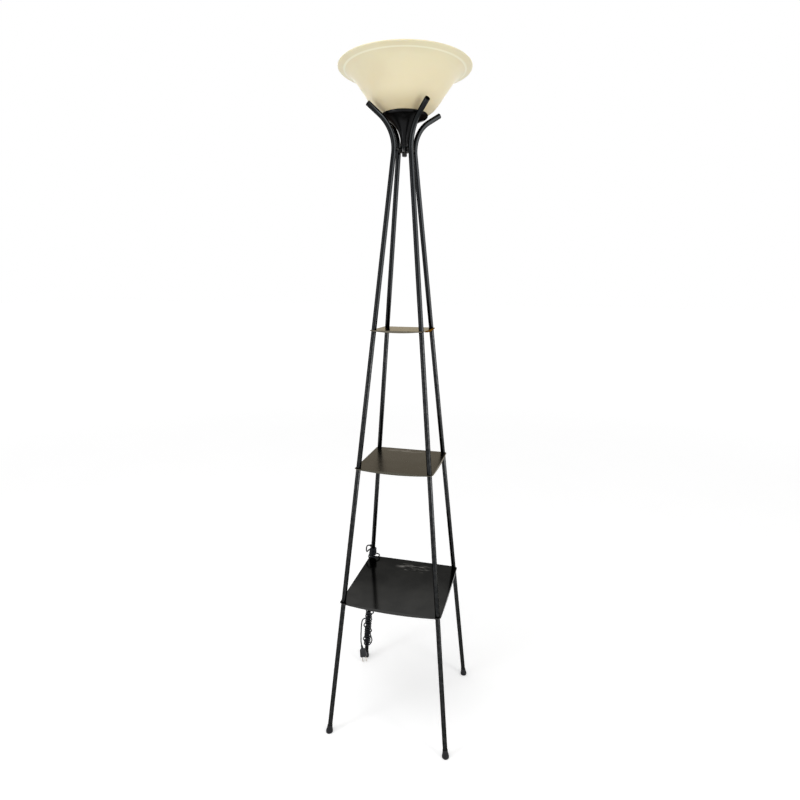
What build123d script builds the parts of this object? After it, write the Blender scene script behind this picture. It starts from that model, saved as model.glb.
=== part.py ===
from build123d import *
import math
import os

# Shelf floor lamp: four leaning tube legs in four lengths each, three sheet shelves clamped between
# the lengths, a trumpet cup with a glass bowl on top, and a cord wound round the back left leg.
# Millimetres. Origin on the floor under the middle of the lamp, +Z up, front of the lamp towards -Y.

# ---------------------------------------------------------------- driving dimensions
# legs
FOOT_R = 243.0            # lamp axis to leg axis on the floor
NECK_R = 31.0             # lamp axis to leg axis where the legs come closest
NECK_Z = 1612.0           # height of that place
BEND_R = 86.0             # centreline radius of the outward bend
FLARE = math.radians(58)  # end direction of a leg, from the vertical
TIP_RUN = 38.4            # straight end after the bend
TUBE_R = 6.5              # leg tube, outside
TUBE_WALL = 1.0
LEGS = {"fr": -45, "br": 45, "bl": 135, "fl": 225}   # leg name to its direction in degrees
CORD_LEG = "bl"           # the leg that the cord runs in and is wound on

# shelves
SHELF_Z = {"bottom": 403.0, "middle": 790.0, "top": 1161.0}   # middle of each sheet
SHEET = 1.0               # sheet thickness
CORNER_REACH = 14.0       # leg axis to the square's corner, along the diagonal
CORNER_R = 3.0            # rounded corner
APRON_SHARE = 0.027       # depth of the turned-down edge at mid side, as a share of the side
APRON_END = 0.8           # its depth at the corners

# joints between the tube lengths
STUD_R = 4.0
STUD_BORE_R = 2.7
STUD_REACH = 9.5          # stud end above and below the sheet
INSERT_LENGTH = 10.0
FIT = 0.05                # clearance of fixed fits
RUN_FIT = 0.05            # clearance of the turning shaft

# foot caps
CAP_HEIGHT = 23.0
CAP_TOP_R = 7.2
CAP_FOOT_R = 10.2
CAP_FLOOR = 3.0           # floor of the cap under the tube

# hub, switch and knob
HUB_R = 10.6
HUB_HEIGHT = 14.5
HUB_BORE_R = 7.4
HUB_PLATE = 3.0
COLLAR_HEIGHT = 6.0
ARM_R = 4.4
ARM_BORE_R = 2.5
SWITCH_HEIGHT = 14.5
SWITCH_FLAT = 5.0         # switch axis to its side flats
BUSHING_R = 3.0
BUSHING_BELOW = 2.4       # bushing end below the hub
SHAFT_R = 1.5
SHAFT_IN_SWITCH = 0.7     # share of the switch's height that the shaft reaches up
SHAFT_IN_KNOB = 0.3       # share of the knob's height that the shaft leaves free
NUT_HEIGHT = 2.0
NUT_INSET = 1.7           # nut corner to the knob's outside
KNOB_R = 6.3
KNOB_HEIGHT = 9.0
KNOB_GAP = 0.5            # knob to hub and to bushing
KNOB_NUT_GAP = 0.4        # knob bore to nut corner
KNOB_FOOT_ROUND = 0.4     # rounding of the knob's foot, as a share of its radius
KNOB_TOP_ROUND = 0.5
KNOB_FLUTES = 16
FLUTE_R = 0.6
FLUTE_OUT = 0.2           # flute centre outside the knob

# cup
STEM_R = 10.3             # outside
CUP_WALL = 1.0
STEM_LENGTH = 8.5         # straight stem above the hub
CUP_R = 58.0              # outside, at the rim
FLARE_RISE = 62.5         # height of the curved flare
CUP_LIP_R = 5.0           # bend between the flare and the rim
CUP_LIP = 1.5             # straight rim
SCREW_AZ = (-50, 130)     # stem screws
SCREW_R = 1.45
SCREW_HEAD_R = 2.3
SCREW_HEAD = 1.3
SCREW_SLOT = 0.5

# shade: heights above the cup's rim
SHADE_WALL = 3.3
SHADE_SHOULDER_R = 124.0
SHADE_SHOULDER_H = 79.5
SHADE_BRIM_R = 163.8
SHADE_BRIM_H = 104.6
SHADE_FLOOR_R = 41.0      # flat floor of the bowl
SHADE_FLOOR_DROP = 7.2    # floor below the cup's rim
SEAT_GAP = 0.3            # glass above the cup's rim
SHADE_HOLE_GAP = 0.8      # glass to socket thread
BODY_CURVE = ((0.12, 0.078), (0.29, 0.19), (0.5, 0.405), (0.7, 0.65))   # shares of seat to shoulder
BRIM_CURVE = ((0.15, 0.28), (0.35, 0.56), (0.6, 0.79))                  # shares of shoulder to brim

# lamp socket
PLATE_ABOVE_NECK = 40.0   # bridge plate above the neck
PLATE = 2.0
NIPPLE_R = 5.0
NIPPLE_BORE_R = 3.5
NIPPLE_LENGTH = 20.0
NUT_R = 7.6
SOCKET_BASE_RISE = 52.0   # underside of the socket above the neck
SOCKET_BASE = 4.0
SOCKET_R = 17.0
SOCKET_HEIGHT = 42.0      # with its base
SOCKET_BORE_R = 14.2
THREAD_R = 19.8           # outer thread for the shade ring
FLANGE_R = 23.5
FLANGE = 3.5
SHELL_WALL = 0.6
SHELL_LENGTH = 30.0
SHELL_RISE = 2.0          # screw shell above the socket's base
SHELL_FLOOR_GAP = 3.0     # contact to the shell's floor
CONTACT_R = 5.0
CONTACT_STEP = 1.0        # the contact's foot, top edge and slope differ by this in radius
CONTACT_FOOT = 0.8
CONTACT_RISE = 2.0        # contact top above the shell's floor
GASKET = 1.0
RING_HEIGHT = 6.0
RING_R = 27.0
RING_NOTCHES = 12
RING_NOTCH_R = 1.6
RING_NOTCH_OUT = 0.6      # notch centre outside the ring

# bulb
BULB_BASE_R = 13.1
BULB_BASE_LENGTH = 24.0
BULB_R = 30.0
BULB_LENGTH = 77.0        # glass above its base
BULB_WALL = 0.8
BULB_FIT = 0.3            # gap round the base, which slides past the shell in place of threads
BULB_WAIST = (0.6, 0.24)  # shares of the globe's radius and length
BULB_CONTACT = 2.0
BULB_CONTACT_GAP = 0.1    # to the socket's contact
BULB_TIP_R = 2.5
BULB_CONTACT_R = 4.0
BULB_CONE_R = 5.0         # cone at the foot of the base
BULB_CONE = 5.0
BULB_BASE_WALL = 1.0
BULB_BASE_FLOOR = 2.0

# cord
CORD_R = 2.1
CORD_GAP = 0.8            # winding to tube
WIRE_R = 0.9
WIRE_GAP = 0.1            # wire to its lane's middle
EXIT_Z = 444.0            # grommet height
EXIT_AZ = 165.0           # grommet direction
EXIT_REACH = 12.0         # leg axis to the grommet's outer end
GROMMET_R = 3.4
GROMMET_FLANGE_R = 4.8
GROMMET_FLANGE = 1.0      # flange outside the tube
GROMMET_INSIDE = 2.0      # grommet inside the tube's outside
GROMMET_LIP = 1.0         # rubber round the cord at the outer end
ENTRY_BEND_R = 6.0        # bends of the run inside the leg
EXIT_BEND_R = 4.2
GROMMET_RUN = 6.3         # straight ends of the free cord: at the grommet, at the windings, at the plug
UPPER_RUN = 6.2
CROSSING_RUN = 5.8
LEAD_RUN = 7.0
PLUG_RUN = 10.5
UPPER_TURNS = 5.5
UPPER_START_AZ = 270.0
UPPER_Z = (437.5, 408.7)
LOWER_START_AZ = 180.0
LOWER_SPANS = ((376.0, 190.0, 3.0), (190.0, 52.0, 14.5))   # from, to, turns: loose, then close
UPPER_LOOPS = {9: 1.2, 15: 1.5, 21: 12.0}                  # quarter turn to extra radius
LOWER_LOOPS = {14: 1.5, 18: 7.0, 24: 2.0, 32: 5.0, 34: 1.5, 42: 5.5, 48: 1.5, 52: 3.0, 58: 2.0}

# plug: a body with a tapered relief and two blades, leaning on the floor beside the foot
PLUG_TIP = (6.0, -33.0, 3.0)          # blade ends, from the middle of the foot
PLUG_DIR = (0.30, -0.28, -0.91)       # from the cord to the blades
PLUG_WIDTH = 24.0
PLUG_THICK = 15.0
PLUG_LENGTH = 28.0
RELIEF_LENGTH = 12.0
BLADE_LENGTH = 16.0
BLADE_WIDTH = 6.4
BLADE_THICK = 1.5
BLADE_SPACING = 12.7
BLADE_ROOT = 4.0                      # blade inside the body
BLADE_HOLE_R = 1.5
BLADE_HOLE_AT = 0.75                  # share of the blade's length
PLUG_CORNER_R = 4.0
PLUG_TAPER = (0.75, 0.8)              # width and thickness at the cord, as shares
RELIEF_WALLS = (2.4, 0.8)             # rubber round the cord, at the body and at the end

# ---------------------------------------------------------------- leg geometry
BEND_CENTRE = (NECK_R + BEND_R, NECK_Z)
LEAN = math.atan((FOOT_R - BEND_CENTRE[0]) / NECK_Z) + math.asin(
    BEND_R / math.hypot(FOOT_R - BEND_CENTRE[0], NECK_Z)
)
BEND_START_Z = NECK_Z - BEND_R * math.sin(LEAN)
BORE_R = TUBE_R - TUBE_WALL
WIDE = 4 * FOOT_R                      # larger than the lamp


def leg_radius(z):
    """Lamp axis to leg axis at height z, below the bend."""
    return FOOT_R - z * math.tan(LEAN)


def leg_plane(z):
    """Plane square to the leg that stands towards +X, where its axis is at height z."""
    return Plane(
        origin=(leg_radius(z), 0, z),
        x_dir=(math.cos(LEAN), 0, math.sin(LEAN)),
        z_dir=(-math.sin(LEAN), 0, math.cos(LEAN)),
    )


def beside_leg(radius, azimuth, z):
    """Point at a distance from the cord leg's axis, level with the axis at height z."""
    turn = math.radians(azimuth)
    leg_turn = math.radians(LEGS[CORD_LEG])
    axis_r = leg_radius(z)
    return Vector(
        axis_r * math.cos(leg_turn) + radius * math.cos(turn),
        axis_r * math.sin(leg_turn) + radius * math.sin(turn),
        z,
    )


def slab(z_low, z_high):
    """Everything between two heights."""
    return Pos(0, 0, (z_low + z_high) / 2) * Box(WIDE, WIDE, z_high - z_low)


def along_leg(radius, z_low, z_high):
    """Round bar on the leg's axis, cut level at both heights."""
    reach = radius * math.tan(LEAN) + 1
    length = (z_high - z_low + 2 * reach) / math.cos(LEAN)
    bar = extrude(leg_plane(z_low - reach) * Circle(radius), amount=length)
    return bar & slab(z_low, z_high)


def each_leg(piece):
    """The same piece on all four legs, as separate solids."""
    return Compound(children=[Rot(0, 0, angle) * piece for angle in LEGS.values()])


def solids_of(*pieces):
    """Separate solids grouped in one node."""
    return Compound(children=[solid for piece in pieces for solid in piece.solids()])


def turned(points):
    """Solid of revolution about the lamp axis of a closed outline of (radius, height) points."""
    outline = Plane.XZ * make_face(Polyline(*points, close=True))
    return revolve(outline, axis=Axis.Z)


def ring(outer, inner, z_low, z_high):
    return turned([(inner, z_low), (outer, z_low), (outer, z_high), (inner, z_high)])


def save(name, piece):
    os.makedirs("parts", exist_ok=True)
    export_step(piece, f"parts/{name}.step")
    print(f"{name}: {len(piece.solids())} solids, {piece.volume:.1f} mm3")


# ---------------------------------------------------------------- leg tubes
SHEET_LOW = {name: z - SHEET / 2 for name, z in SHELF_Z.items()}
SHEET_HIGH = {name: z + SHEET / 2 for name, z in SHELF_Z.items()}


def tube(z_low, z_high):
    return along_leg(TUBE_R, z_low, z_high) - along_leg(BORE_R, z_low - 1, z_high + 1)


def bend_point(angle):
    """Point of the bend's centreline where the leg has turned outward by angle from the vertical."""
    x = BEND_CENTRE[0] - BEND_R * math.cos(angle)
    return Vector(x, 0, BEND_CENTRE[1] + BEND_R * math.sin(angle))


def top_bar(radius, z_low, extra=0.0):
    """Bar of the top length: straight, bent outward, and straight again."""
    start = leg_plane(z_low - 2 * radius)
    direction = Vector(math.sin(FLARE), 0, math.cos(FLARE))
    bend_end = bend_point(FLARE)
    path = Wire(
        [
            Edge.make_line(start.origin, bend_point(-LEAN)),
            Edge.make_three_point_arc(bend_point(-LEAN), bend_point((FLARE - LEAN) / 2), bend_end),
            Edge.make_line(bend_end, bend_end + direction * (TIP_RUN + extra)),
        ]
    )
    return sweep(start * Circle(radius), path=path) - slab(z_low - WIDE, z_low)


# the cord enters its leg at the neck and leaves it above the bottom shelf
arm_axis = Plane(origin=(0, 0, NECK_Z), z_dir=(1, 0, 0))
cord_leg_turn = Rot(0, 0, LEGS[CORD_LEG])


def exit_plane():
    """Plane at the cord leg's axis at the exit, facing the way that the cord leaves."""
    angle = math.radians(EXIT_AZ)
    return Plane(origin=beside_leg(0, 0, EXIT_Z), z_dir=(math.cos(angle), math.sin(angle), 0))


top_tube = top_bar(TUBE_R, SHEET_HIGH["top"]) - top_bar(BORE_R, SHEET_HIGH["top"] - 1, extra=1)
cord_entry = extrude(arm_axis * Circle(ARM_BORE_R + FIT), amount=NECK_R)
cord_exit = extrude(exit_plane() * Circle(GROMMET_R + FIT), amount=2 * TUBE_R)

lengths = {
    "lower": tube(CAP_FLOOR, SHEET_LOW["bottom"]),
    "middle": tube(SHEET_HIGH["bottom"], SHEET_LOW["middle"]),
    "upper": tube(SHEET_HIGH["middle"], SHEET_LOW["top"]),
    "top": top_tube,
}
for leg, angle in LEGS.items():
    for length, piece in lengths.items():
        if leg == CORD_LEG and length == "top":
            piece = piece - cord_entry
        placed = Rot(0, 0, angle) * piece
        if leg == CORD_LEG and length == "middle":
            placed = placed - cord_exit
        save(f"leg_{length}_{leg}", placed)

# ---------------------------------------------------------------- foot caps
# turned on the leg's axis, then cut level on the floor
cap_outline = Polyline(
    (0, -4), (CAP_FOOT_R - 1.8, -4), (CAP_FOOT_R - 0.4, 1.2), (CAP_FOOT_R, 3.5), (CAP_FOOT_R - 0.5, 7.5),
    (CAP_TOP_R + 0.6, 0.7 * CAP_HEIGHT), (CAP_TOP_R, CAP_HEIGHT), (0, CAP_HEIGHT), close=True,
)
cap = leg_plane(0).location * revolve(Plane.XZ * make_face(cap_outline), axis=Axis.Z)
cap = cap - slab(-WIDE, 0) - along_leg(TUBE_R + FIT, CAP_FLOOR, 2 * CAP_HEIGHT)
for leg, angle in LEGS.items():
    save(f"foot_cap_{leg}", Rot(0, 0, angle) * cap)

# ---------------------------------------------------------------- shelves, studs and inserts


def shelf(z):
    """Square sheet through the legs' axes, with edges turned down in a shallow arc."""
    side = math.sqrt(2) * (leg_radius(z) + CORNER_REACH)
    sheet = Pos(0, 0, z - SHEET / 2) * extrude(RectangleRounded(side, side, CORNER_R), amount=SHEET)
    half = side / 2 - 2 * CORNER_R
    under = z - SHEET / 2
    depth = APRON_SHARE * side + APRON_END
    lower = ThreePointArc((-half, under - APRON_END), (0, under - depth), (half, under - APRON_END))
    rest = Polyline((half, under - APRON_END), (half, under), (-half, under), (-half, under - APRON_END))
    apron = Plane(origin=(0, -side / 2, 0), x_dir=(1, 0, 0), z_dir=(0, -1, 0)) * make_face([lower, rest])
    apron = extrude(apron, amount=-SHEET)
    for turn in range(4):
        sheet = sheet + Rot(0, 0, 90 * turn) * apron
    hole = along_leg(STUD_R + FIT, z - SHEET, z + SHEET)
    for angle in LEGS.values():
        sheet = sheet - Rot(0, 0, angle) * hole
    return sheet


def stud(z):
    return along_leg(STUD_R, z - STUD_REACH, z + STUD_REACH) - along_leg(STUD_BORE_R, z - WIDE, z + WIDE)


def insert(z_low, z_high):
    return along_leg(BORE_R - FIT, z_low, z_high) - along_leg(STUD_R + FIT, z_low - 1, z_high + 1)


for name, z in SHELF_Z.items():
    save(f"shelf_{name}", shelf(z))
    save(f"studs_{name}", each_leg(stud(z)))
    above = insert(SHEET_HIGH[name], SHEET_HIGH[name] + INSERT_LENGTH)
    below = insert(SHEET_LOW[name] - INSERT_LENGTH, SHEET_LOW[name])
    save(f"tube_inserts_{name}", solids_of(each_leg(above), each_leg(below)))

# ---------------------------------------------------------------- hub with four arms
HUB_Z = NECK_Z - HUB_HEIGHT / 2
HUB_TOP = HUB_Z + HUB_HEIGHT
COLLAR_TOP = HUB_TOP + COLLAR_HEIGHT
STEM_BORE_R = STEM_R - CUP_WALL
COLLAR_R = STEM_BORE_R - FIT

arm = extrude(arm_axis * Circle(ARM_R), amount=NECK_R)
neck_clearance = Pos(NECK_R, 0, NECK_Z) * Cylinder(TUBE_R + FIT, 3 * HUB_HEIGHT)
arm = arm - neck_clearance - (Pos(NECK_R + WIDE / 2, 0, NECK_Z) * Box(WIDE, WIDE, WIDE))
screw_axis = Plane(origin=(0, 0, HUB_TOP + COLLAR_HEIGHT / 2), z_dir=(1, 0, 0))
screw_hole = extrude(screw_axis * Circle(SCREW_R + FIT), amount=2 * STEM_R)

hub = Pos(0, 0, HUB_Z + HUB_HEIGHT / 2) * Cylinder(HUB_R, HUB_HEIGHT)
hub = hub + ring(COLLAR_R, HUB_BORE_R, HUB_TOP - 1, COLLAR_TOP)
for angle in LEGS.values():
    hub = hub + Rot(0, 0, angle) * arm
hub = hub - ring(HUB_BORE_R, 0, HUB_Z + HUB_PLATE, COLLAR_TOP + 1)
hub = hub - ring(BUSHING_R + FIT, 0, HUB_Z - 1, HUB_Z + HUB_PLATE + 1)
hub = hub - cord_leg_turn * extrude(arm_axis * Circle(ARM_BORE_R), amount=NECK_R)
for angle in SCREW_AZ:
    hub = hub - Rot(0, 0, angle) * screw_hole
save("hub", hub)

# ---------------------------------------------------------------- trumpet cup
FLARE_Z = HUB_TOP + STEM_LENGTH
LIP_Z = FLARE_Z + FLARE_RISE
CUP_TOP = LIP_Z + CUP_LIP
FLARE_TURN = 2 * math.atan((CUP_R - STEM_R) / FLARE_RISE)
FLARE_ARC_R = FLARE_RISE / math.sin(FLARE_TURN) - CUP_LIP_R


def flare_point(share, inset):
    """Point of the flare, from the stem (0) to the lip bend (1), on the skin at inset from outside."""
    turn = share * FLARE_TURN
    radius = FLARE_ARC_R + inset
    return (STEM_R + FLARE_ARC_R - radius * math.cos(turn), FLARE_Z + radius * math.sin(turn))


def lip_point(share, inset):
    """Point of the lip bend, from the flare (0) to the straight rim (1)."""
    turn = (1 - share) * FLARE_TURN
    radius = CUP_LIP_R - inset
    return (CUP_R - CUP_LIP_R + radius * math.cos(turn), LIP_Z - radius * math.sin(turn))


def cup_bore(z):
    """Inside radius of the flare at height z."""
    rise = z - FLARE_Z
    return STEM_R + FLARE_ARC_R - math.sqrt((FLARE_ARC_R + CUP_WALL) ** 2 - rise**2)


def cup_skin(inset):
    """Line of one skin, from the stem's foot to the rim."""
    stem = Line((STEM_R - inset, HUB_TOP), flare_point(0, inset))
    flare = ThreePointArc(flare_point(0, inset), flare_point(0.5, inset), flare_point(1, inset))
    lip = ThreePointArc(lip_point(0, inset), lip_point(0.5, inset), lip_point(1, inset))
    rim = Line(lip_point(1, inset), (CUP_R - inset, CUP_TOP))
    return [stem, flare, lip, rim]


foot_edge = Line((STEM_R, HUB_TOP), (STEM_R - CUP_WALL, HUB_TOP))
rim_edge = Line((CUP_R, CUP_TOP), (CUP_R - CUP_WALL, CUP_TOP))
cup_face = make_face([*cup_skin(0), *cup_skin(CUP_WALL), foot_edge, rim_edge])
cup = revolve(Plane.XZ * cup_face, axis=Axis.Z)
for angle in SCREW_AZ:
    cup = cup - Rot(0, 0, angle) * screw_hole
save("cup", cup)

screw_plane = Plane(origin=(STEM_R + FIT, 0, HUB_TOP + COLLAR_HEIGHT / 2), z_dir=(1, 0, 0))
screw_head = extrude(screw_plane * Circle(SCREW_HEAD_R), amount=SCREW_HEAD)
screw_head = fillet(screw_head.edges().sort_by(Axis.X)[-1], SCREW_HEAD / 2)
slot = screw_plane.offset(SCREW_HEAD) * Box(SCREW_SLOT, 2 * SCREW_HEAD_R, SCREW_HEAD)
screw_shank = extrude(screw_plane * Circle(SCREW_R), amount=-(STEM_R - HUB_BORE_R))
screw = screw_head - slot + screw_shank
save("stem_screws", solids_of(*[Rot(0, 0, angle) * screw for angle in SCREW_AZ]))

# ---------------------------------------------------------------- rotary switch and its knob
SWITCH_Z = COLLAR_TOP
SWITCH_R = COLLAR_R
BUSHING_Z = HUB_Z - BUSHING_BELOW
SHAFT_TOP = SWITCH_Z + SHAFT_IN_SWITCH * SWITCH_HEIGHT
KNOB_TOP = HUB_Z - KNOB_GAP
KNOB_Z = KNOB_TOP - KNOB_HEIGHT
SWITCH_TURN = Rot(0, 0, LEGS[CORD_LEG])     # the flats face the cord leg

switch_body = Pos(0, 0, SWITCH_Z + SWITCH_HEIGHT / 2) * Cylinder(SWITCH_R, SWITCH_HEIGHT)
flat_bar = Pos(0, 0, SWITCH_Z + SWITCH_HEIGHT / 2) * Box(2 * SWITCH_FLAT, WIDE, SWITCH_HEIGHT)
switch_body = (switch_body & flat_bar) + ring(BUSHING_R, SHAFT_R + RUN_FIT, BUSHING_Z, SWITCH_Z + 1)
switch_body = switch_body - ring(SHAFT_R + RUN_FIT, 0, BUSHING_Z - 1, SHAFT_TOP + RUN_FIT)
save("switch_body", SWITCH_TURN * switch_body)

NUT_CORNER_R = KNOB_R - NUT_INSET
nut_place = Pos(0, 0, HUB_Z - FIT - NUT_HEIGHT)
switch_nut = nut_place * extrude(RegularPolygon(NUT_CORNER_R, 6), amount=NUT_HEIGHT)
save("switch_nut", switch_nut - ring(BUSHING_R + FIT, 0, HUB_Z - 2 * NUT_HEIGHT, HUB_Z))

shaft_low = KNOB_Z + SHAFT_IN_KNOB * KNOB_HEIGHT
save("switch_shaft", ring(SHAFT_R, 0, shaft_low, SHAFT_TOP))

knob = Pos(0, 0, KNOB_Z + KNOB_HEIGHT / 2) * Cylinder(KNOB_R, KNOB_HEIGHT)
knob = fillet(knob.edges().sort_by(Axis.Z)[0], KNOB_FOOT_ROUND * KNOB_R)
knob = fillet(knob.edges().sort_by(Axis.Z)[-1], KNOB_TOP_ROUND)
flute = Pos(KNOB_R + FLUTE_OUT, 0, KNOB_Z + KNOB_HEIGHT / 2) * Cylinder(FLUTE_R, 2 * KNOB_HEIGHT)
for turn in range(KNOB_FLUTES):
    knob = knob - Rot(0, 0, 360 * turn / KNOB_FLUTES) * flute
knob = knob - ring(NUT_CORNER_R + KNOB_NUT_GAP, 0, BUSHING_Z - KNOB_GAP, KNOB_TOP + 1)
knob = knob - ring(SHAFT_R + FIT, 0, shaft_low, KNOB_TOP)
save("switch_knob", knob)

# ---------------------------------------------------------------- bridge plate, nipple and nuts
PLATE_Z = NECK_Z + PLATE_ABOVE_NECK
PLATE_TOP = PLATE_Z + PLATE
SOCKET_Z = NECK_Z + SOCKET_BASE_RISE
NIPPLE_TOP = SOCKET_Z + SOCKET_BASE
NIPPLE_Z = NIPPLE_TOP - NIPPLE_LENGTH
bridge = turned([
    (NIPPLE_R + FIT, PLATE_Z), (cup_bore(PLATE_Z) - FIT, PLATE_Z),
    (cup_bore(PLATE_TOP) - FIT, PLATE_TOP), (NIPPLE_R + FIT, PLATE_TOP),
])
save("bridge_plate", bridge)
save("nipple", ring(NIPPLE_R, NIPPLE_BORE_R, NIPPLE_Z, NIPPLE_TOP))
nut = extrude(RegularPolygon(NUT_R, 6), amount=NUT_HEIGHT) - Cylinder(NIPPLE_R + FIT, WIDE)
low_nut = Pos(0, 0, PLATE_Z - FIT - NUT_HEIGHT) * nut
high_nut = Pos(0, 0, PLATE_TOP + FIT) * nut
save("nipple_nuts", solids_of(low_nut, high_nut))

# ---------------------------------------------------------------- shade
RIM_SEAT_Z = CUP_TOP + SEAT_GAP
SHADE_FLOOR_Z = RIM_SEAT_Z - SHADE_FLOOR_DROP
SHADE_HOLE_R = THREAD_R + SHADE_HOLE_GAP


def share_of(start, end, share):
    return (start[0] + share[0] * (end[0] - start[0]), start[1] + share[1] * (end[1] - start[1]))


seat = (CUP_R - CUP_WALL, RIM_SEAT_Z)
shoulder = (SHADE_SHOULDER_R, RIM_SEAT_Z + SHADE_SHOULDER_H)
brim = (SHADE_BRIM_R, RIM_SEAT_Z + SHADE_BRIM_H)
outer_points = [(SHADE_FLOOR_R, SHADE_FLOOR_Z), seat]
outer_points += [share_of(seat, shoulder, share) for share in BODY_CURVE]
outer_points += [shoulder]
outer_points += [share_of(shoulder, brim, share) for share in BRIM_CURVE]
outer_points += [brim]
outer = Spline(*outer_points, tangents=[(1, 0), (1, 0.25)])


def inward(share):
    """Point of the inner skin across the wall from the outer line."""
    along = outer % share
    return (outer @ share) + Vector(-along.Y, along.X) * SHADE_WALL


INNER_STEPS = 16
inner_points = [inward(step / INNER_STEPS) for step in range(INNER_STEPS + 1)]
inner = Spline(*inner_points)
along_end = outer % 1
edge_middle = (outer @ 1 + inner @ 1) / 2 + Vector(along_end.X, along_end.Y) * (SHADE_WALL / 2)
glass_face = make_face([
    outer,
    ThreePointArc(outer @ 1, edge_middle, inner @ 1),
    inner,
    Line(inner @ 0, (SHADE_HOLE_R, SHADE_FLOOR_Z + SHADE_WALL)),
    Line((SHADE_HOLE_R, SHADE_FLOOR_Z + SHADE_WALL), (SHADE_HOLE_R, SHADE_FLOOR_Z)),
    Line((SHADE_HOLE_R, SHADE_FLOOR_Z), outer @ 0),
])
shade = revolve(Plane.XZ * glass_face, axis=Axis.Z)
save("shade", shade)
print(f"height of the lamp {shade.bounding_box().max.Z:.2f}")

GASKET_Z = SHADE_FLOOR_Z + SHADE_WALL
RING_Z = GASKET_Z + GASKET
save("shade_gasket", ring(RING_R, SHADE_HOLE_R, GASKET_Z, RING_Z))
notch = Pos(RING_R + RING_NOTCH_OUT, 0, RING_Z + RING_HEIGHT / 2) * Cylinder(RING_NOTCH_R, 2 * RING_HEIGHT)
shade_ring = ring(RING_R, THREAD_R + FIT, RING_Z, RING_Z + RING_HEIGHT)
for turn in range(RING_NOTCHES):
    shade_ring = shade_ring - Rot(0, 0, 360 * turn / RING_NOTCHES) * notch
save("shade_ring", shade_ring)

# ---------------------------------------------------------------- lamp socket
BODY_Z = SOCKET_Z + SOCKET_BASE
SOCKET_TOP = SOCKET_Z + SOCKET_HEIGHT
FLANGE_TOP = SHADE_FLOOR_Z - SEAT_GAP
socket_base = ring(SOCKET_R, NIPPLE_R + FIT, SOCKET_Z, BODY_Z)
save("socket_base", socket_base)
socket_body = turned([
    (SOCKET_BORE_R, BODY_Z), (SOCKET_R, BODY_Z), (SOCKET_R, FLANGE_TOP - FLANGE),
    (FLANGE_R, FLANGE_TOP - FLANGE), (FLANGE_R, FLANGE_TOP), (THREAD_R, FLANGE_TOP),
    (THREAD_R, SOCKET_TOP), (SOCKET_BORE_R, SOCKET_TOP),
])
save("socket_body", socket_body)

SHELL_R = SOCKET_BORE_R - FIT
SHELL_BORE_R = SHELL_R - SHELL_WALL
SHELL_Z = BODY_Z + SHELL_RISE
SHELL_FLOOR_R = CONTACT_R + SHELL_FLOOR_GAP
screw_shell = turned([
    (SHELL_FLOOR_R, SHELL_Z), (SHELL_R, SHELL_Z), (SHELL_R, SHELL_Z + SHELL_LENGTH),
    (SHELL_BORE_R, SHELL_Z + SHELL_LENGTH), (SHELL_BORE_R, SHELL_Z + SHELL_WALL),
    (SHELL_FLOOR_R, SHELL_Z + SHELL_WALL),
])
save("screw_shell", screw_shell)
CONTACT_TOP = SHELL_Z + CONTACT_RISE
CONTACT_NOTCH = 2 * (WIRE_R + WIRE_GAP)  # lets a wire out of the nipple to the shell
foot_top = BODY_Z + CONTACT_FOOT
socket_contact = turned([
    (0, BODY_Z), (CONTACT_R + CONTACT_STEP, BODY_Z), (CONTACT_R + CONTACT_STEP, foot_top),
    (CONTACT_R - CONTACT_STEP, foot_top), (CONTACT_R - 2 * CONTACT_STEP, CONTACT_TOP), (0, CONTACT_TOP),
])
way_place = Pos(CONTACT_R, -WIRE_R - WIRE_GAP, BODY_Z + CONTACT_NOTCH / 2)
wire_way = way_place * Box(2 * CONTACT_R, CONTACT_NOTCH, CONTACT_NOTCH)
save("socket_contact", socket_contact - cord_leg_turn * wire_way)

# ---------------------------------------------------------------- lamp wires
# in the upright plane of the cord leg: x towards that leg, at a small distance to one side


def wire(side, points, radii):
    """Insulated wire through (x, z) points, level with its neighbours at a sideways offset."""
    path = FilletPolyline(*[Vector(x, side, z) for x, z in points], radius=radii).wire()
    return cord_leg_turn * round_bar(path, WIRE_R)


def round_bar(path, radius):
    start = Plane(origin=path @ 0, z_dir=path % 0)
    bar = sweep(start * Circle(radius), path=path)
    expected = math.pi * radius**2 * path.length
    print(f"  length {path.length:.1f}, volume over section times length {bar.volume / expected:.4f}")
    return bar


JACKET_END_R = HUB_BORE_R - 0.2          # the cord's jacket ends just inside the hub
SWITCH_TOP = SWITCH_Z + SWITCH_HEIGHT
PASS_X = SWITCH_FLAT + WIRE_R + 0.4      # beside the switch's flat
NIPPLE_X = 1.7
print("lamp_wires")
live = wire(
    WIRE_R + WIRE_GAP,
    [
        (JACKET_END_R, NECK_Z), (SWITCH_FLAT + 0.3, NECK_Z), (SWITCH_FLAT - 0.6, NECK_Z + 6),
        (SWITCH_FLAT - 1, SWITCH_Z - 2 * FIT),
    ],
    [1.6, 8.0],
)
neutral = wire(
    -WIRE_R - WIRE_GAP,
    [
        (JACKET_END_R, NECK_Z), (SWITCH_FLAT + 0.2, NECK_Z), (SWITCH_FLAT + 0.5, NECK_Z + 5),
        (PASS_X, SWITCH_Z - 2), (PASS_X, SWITCH_TOP + 1), (NIPPLE_X, NIPPLE_Z - 1),
        (NIPPLE_X, BODY_Z + WIRE_R + 0.05), (SOCKET_BORE_R - 4, BODY_Z + WIRE_R + 0.05),
    ],
    [1.6, 8.0, 8.0, 3.0, 3.0, 1.9],
)
switched = wire(
    0.0,
    [
        (-SWITCH_FLAT + 1.5, SWITCH_TOP), (-SWITCH_FLAT + 1.5, SWITCH_TOP + 3),
        (-NIPPLE_X, NIPPLE_Z - 1), (-NIPPLE_X, BODY_Z),
    ],
    [3.0, 3.0],
)
save("lamp_wires", solids_of(live, neutral, switched))

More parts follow.
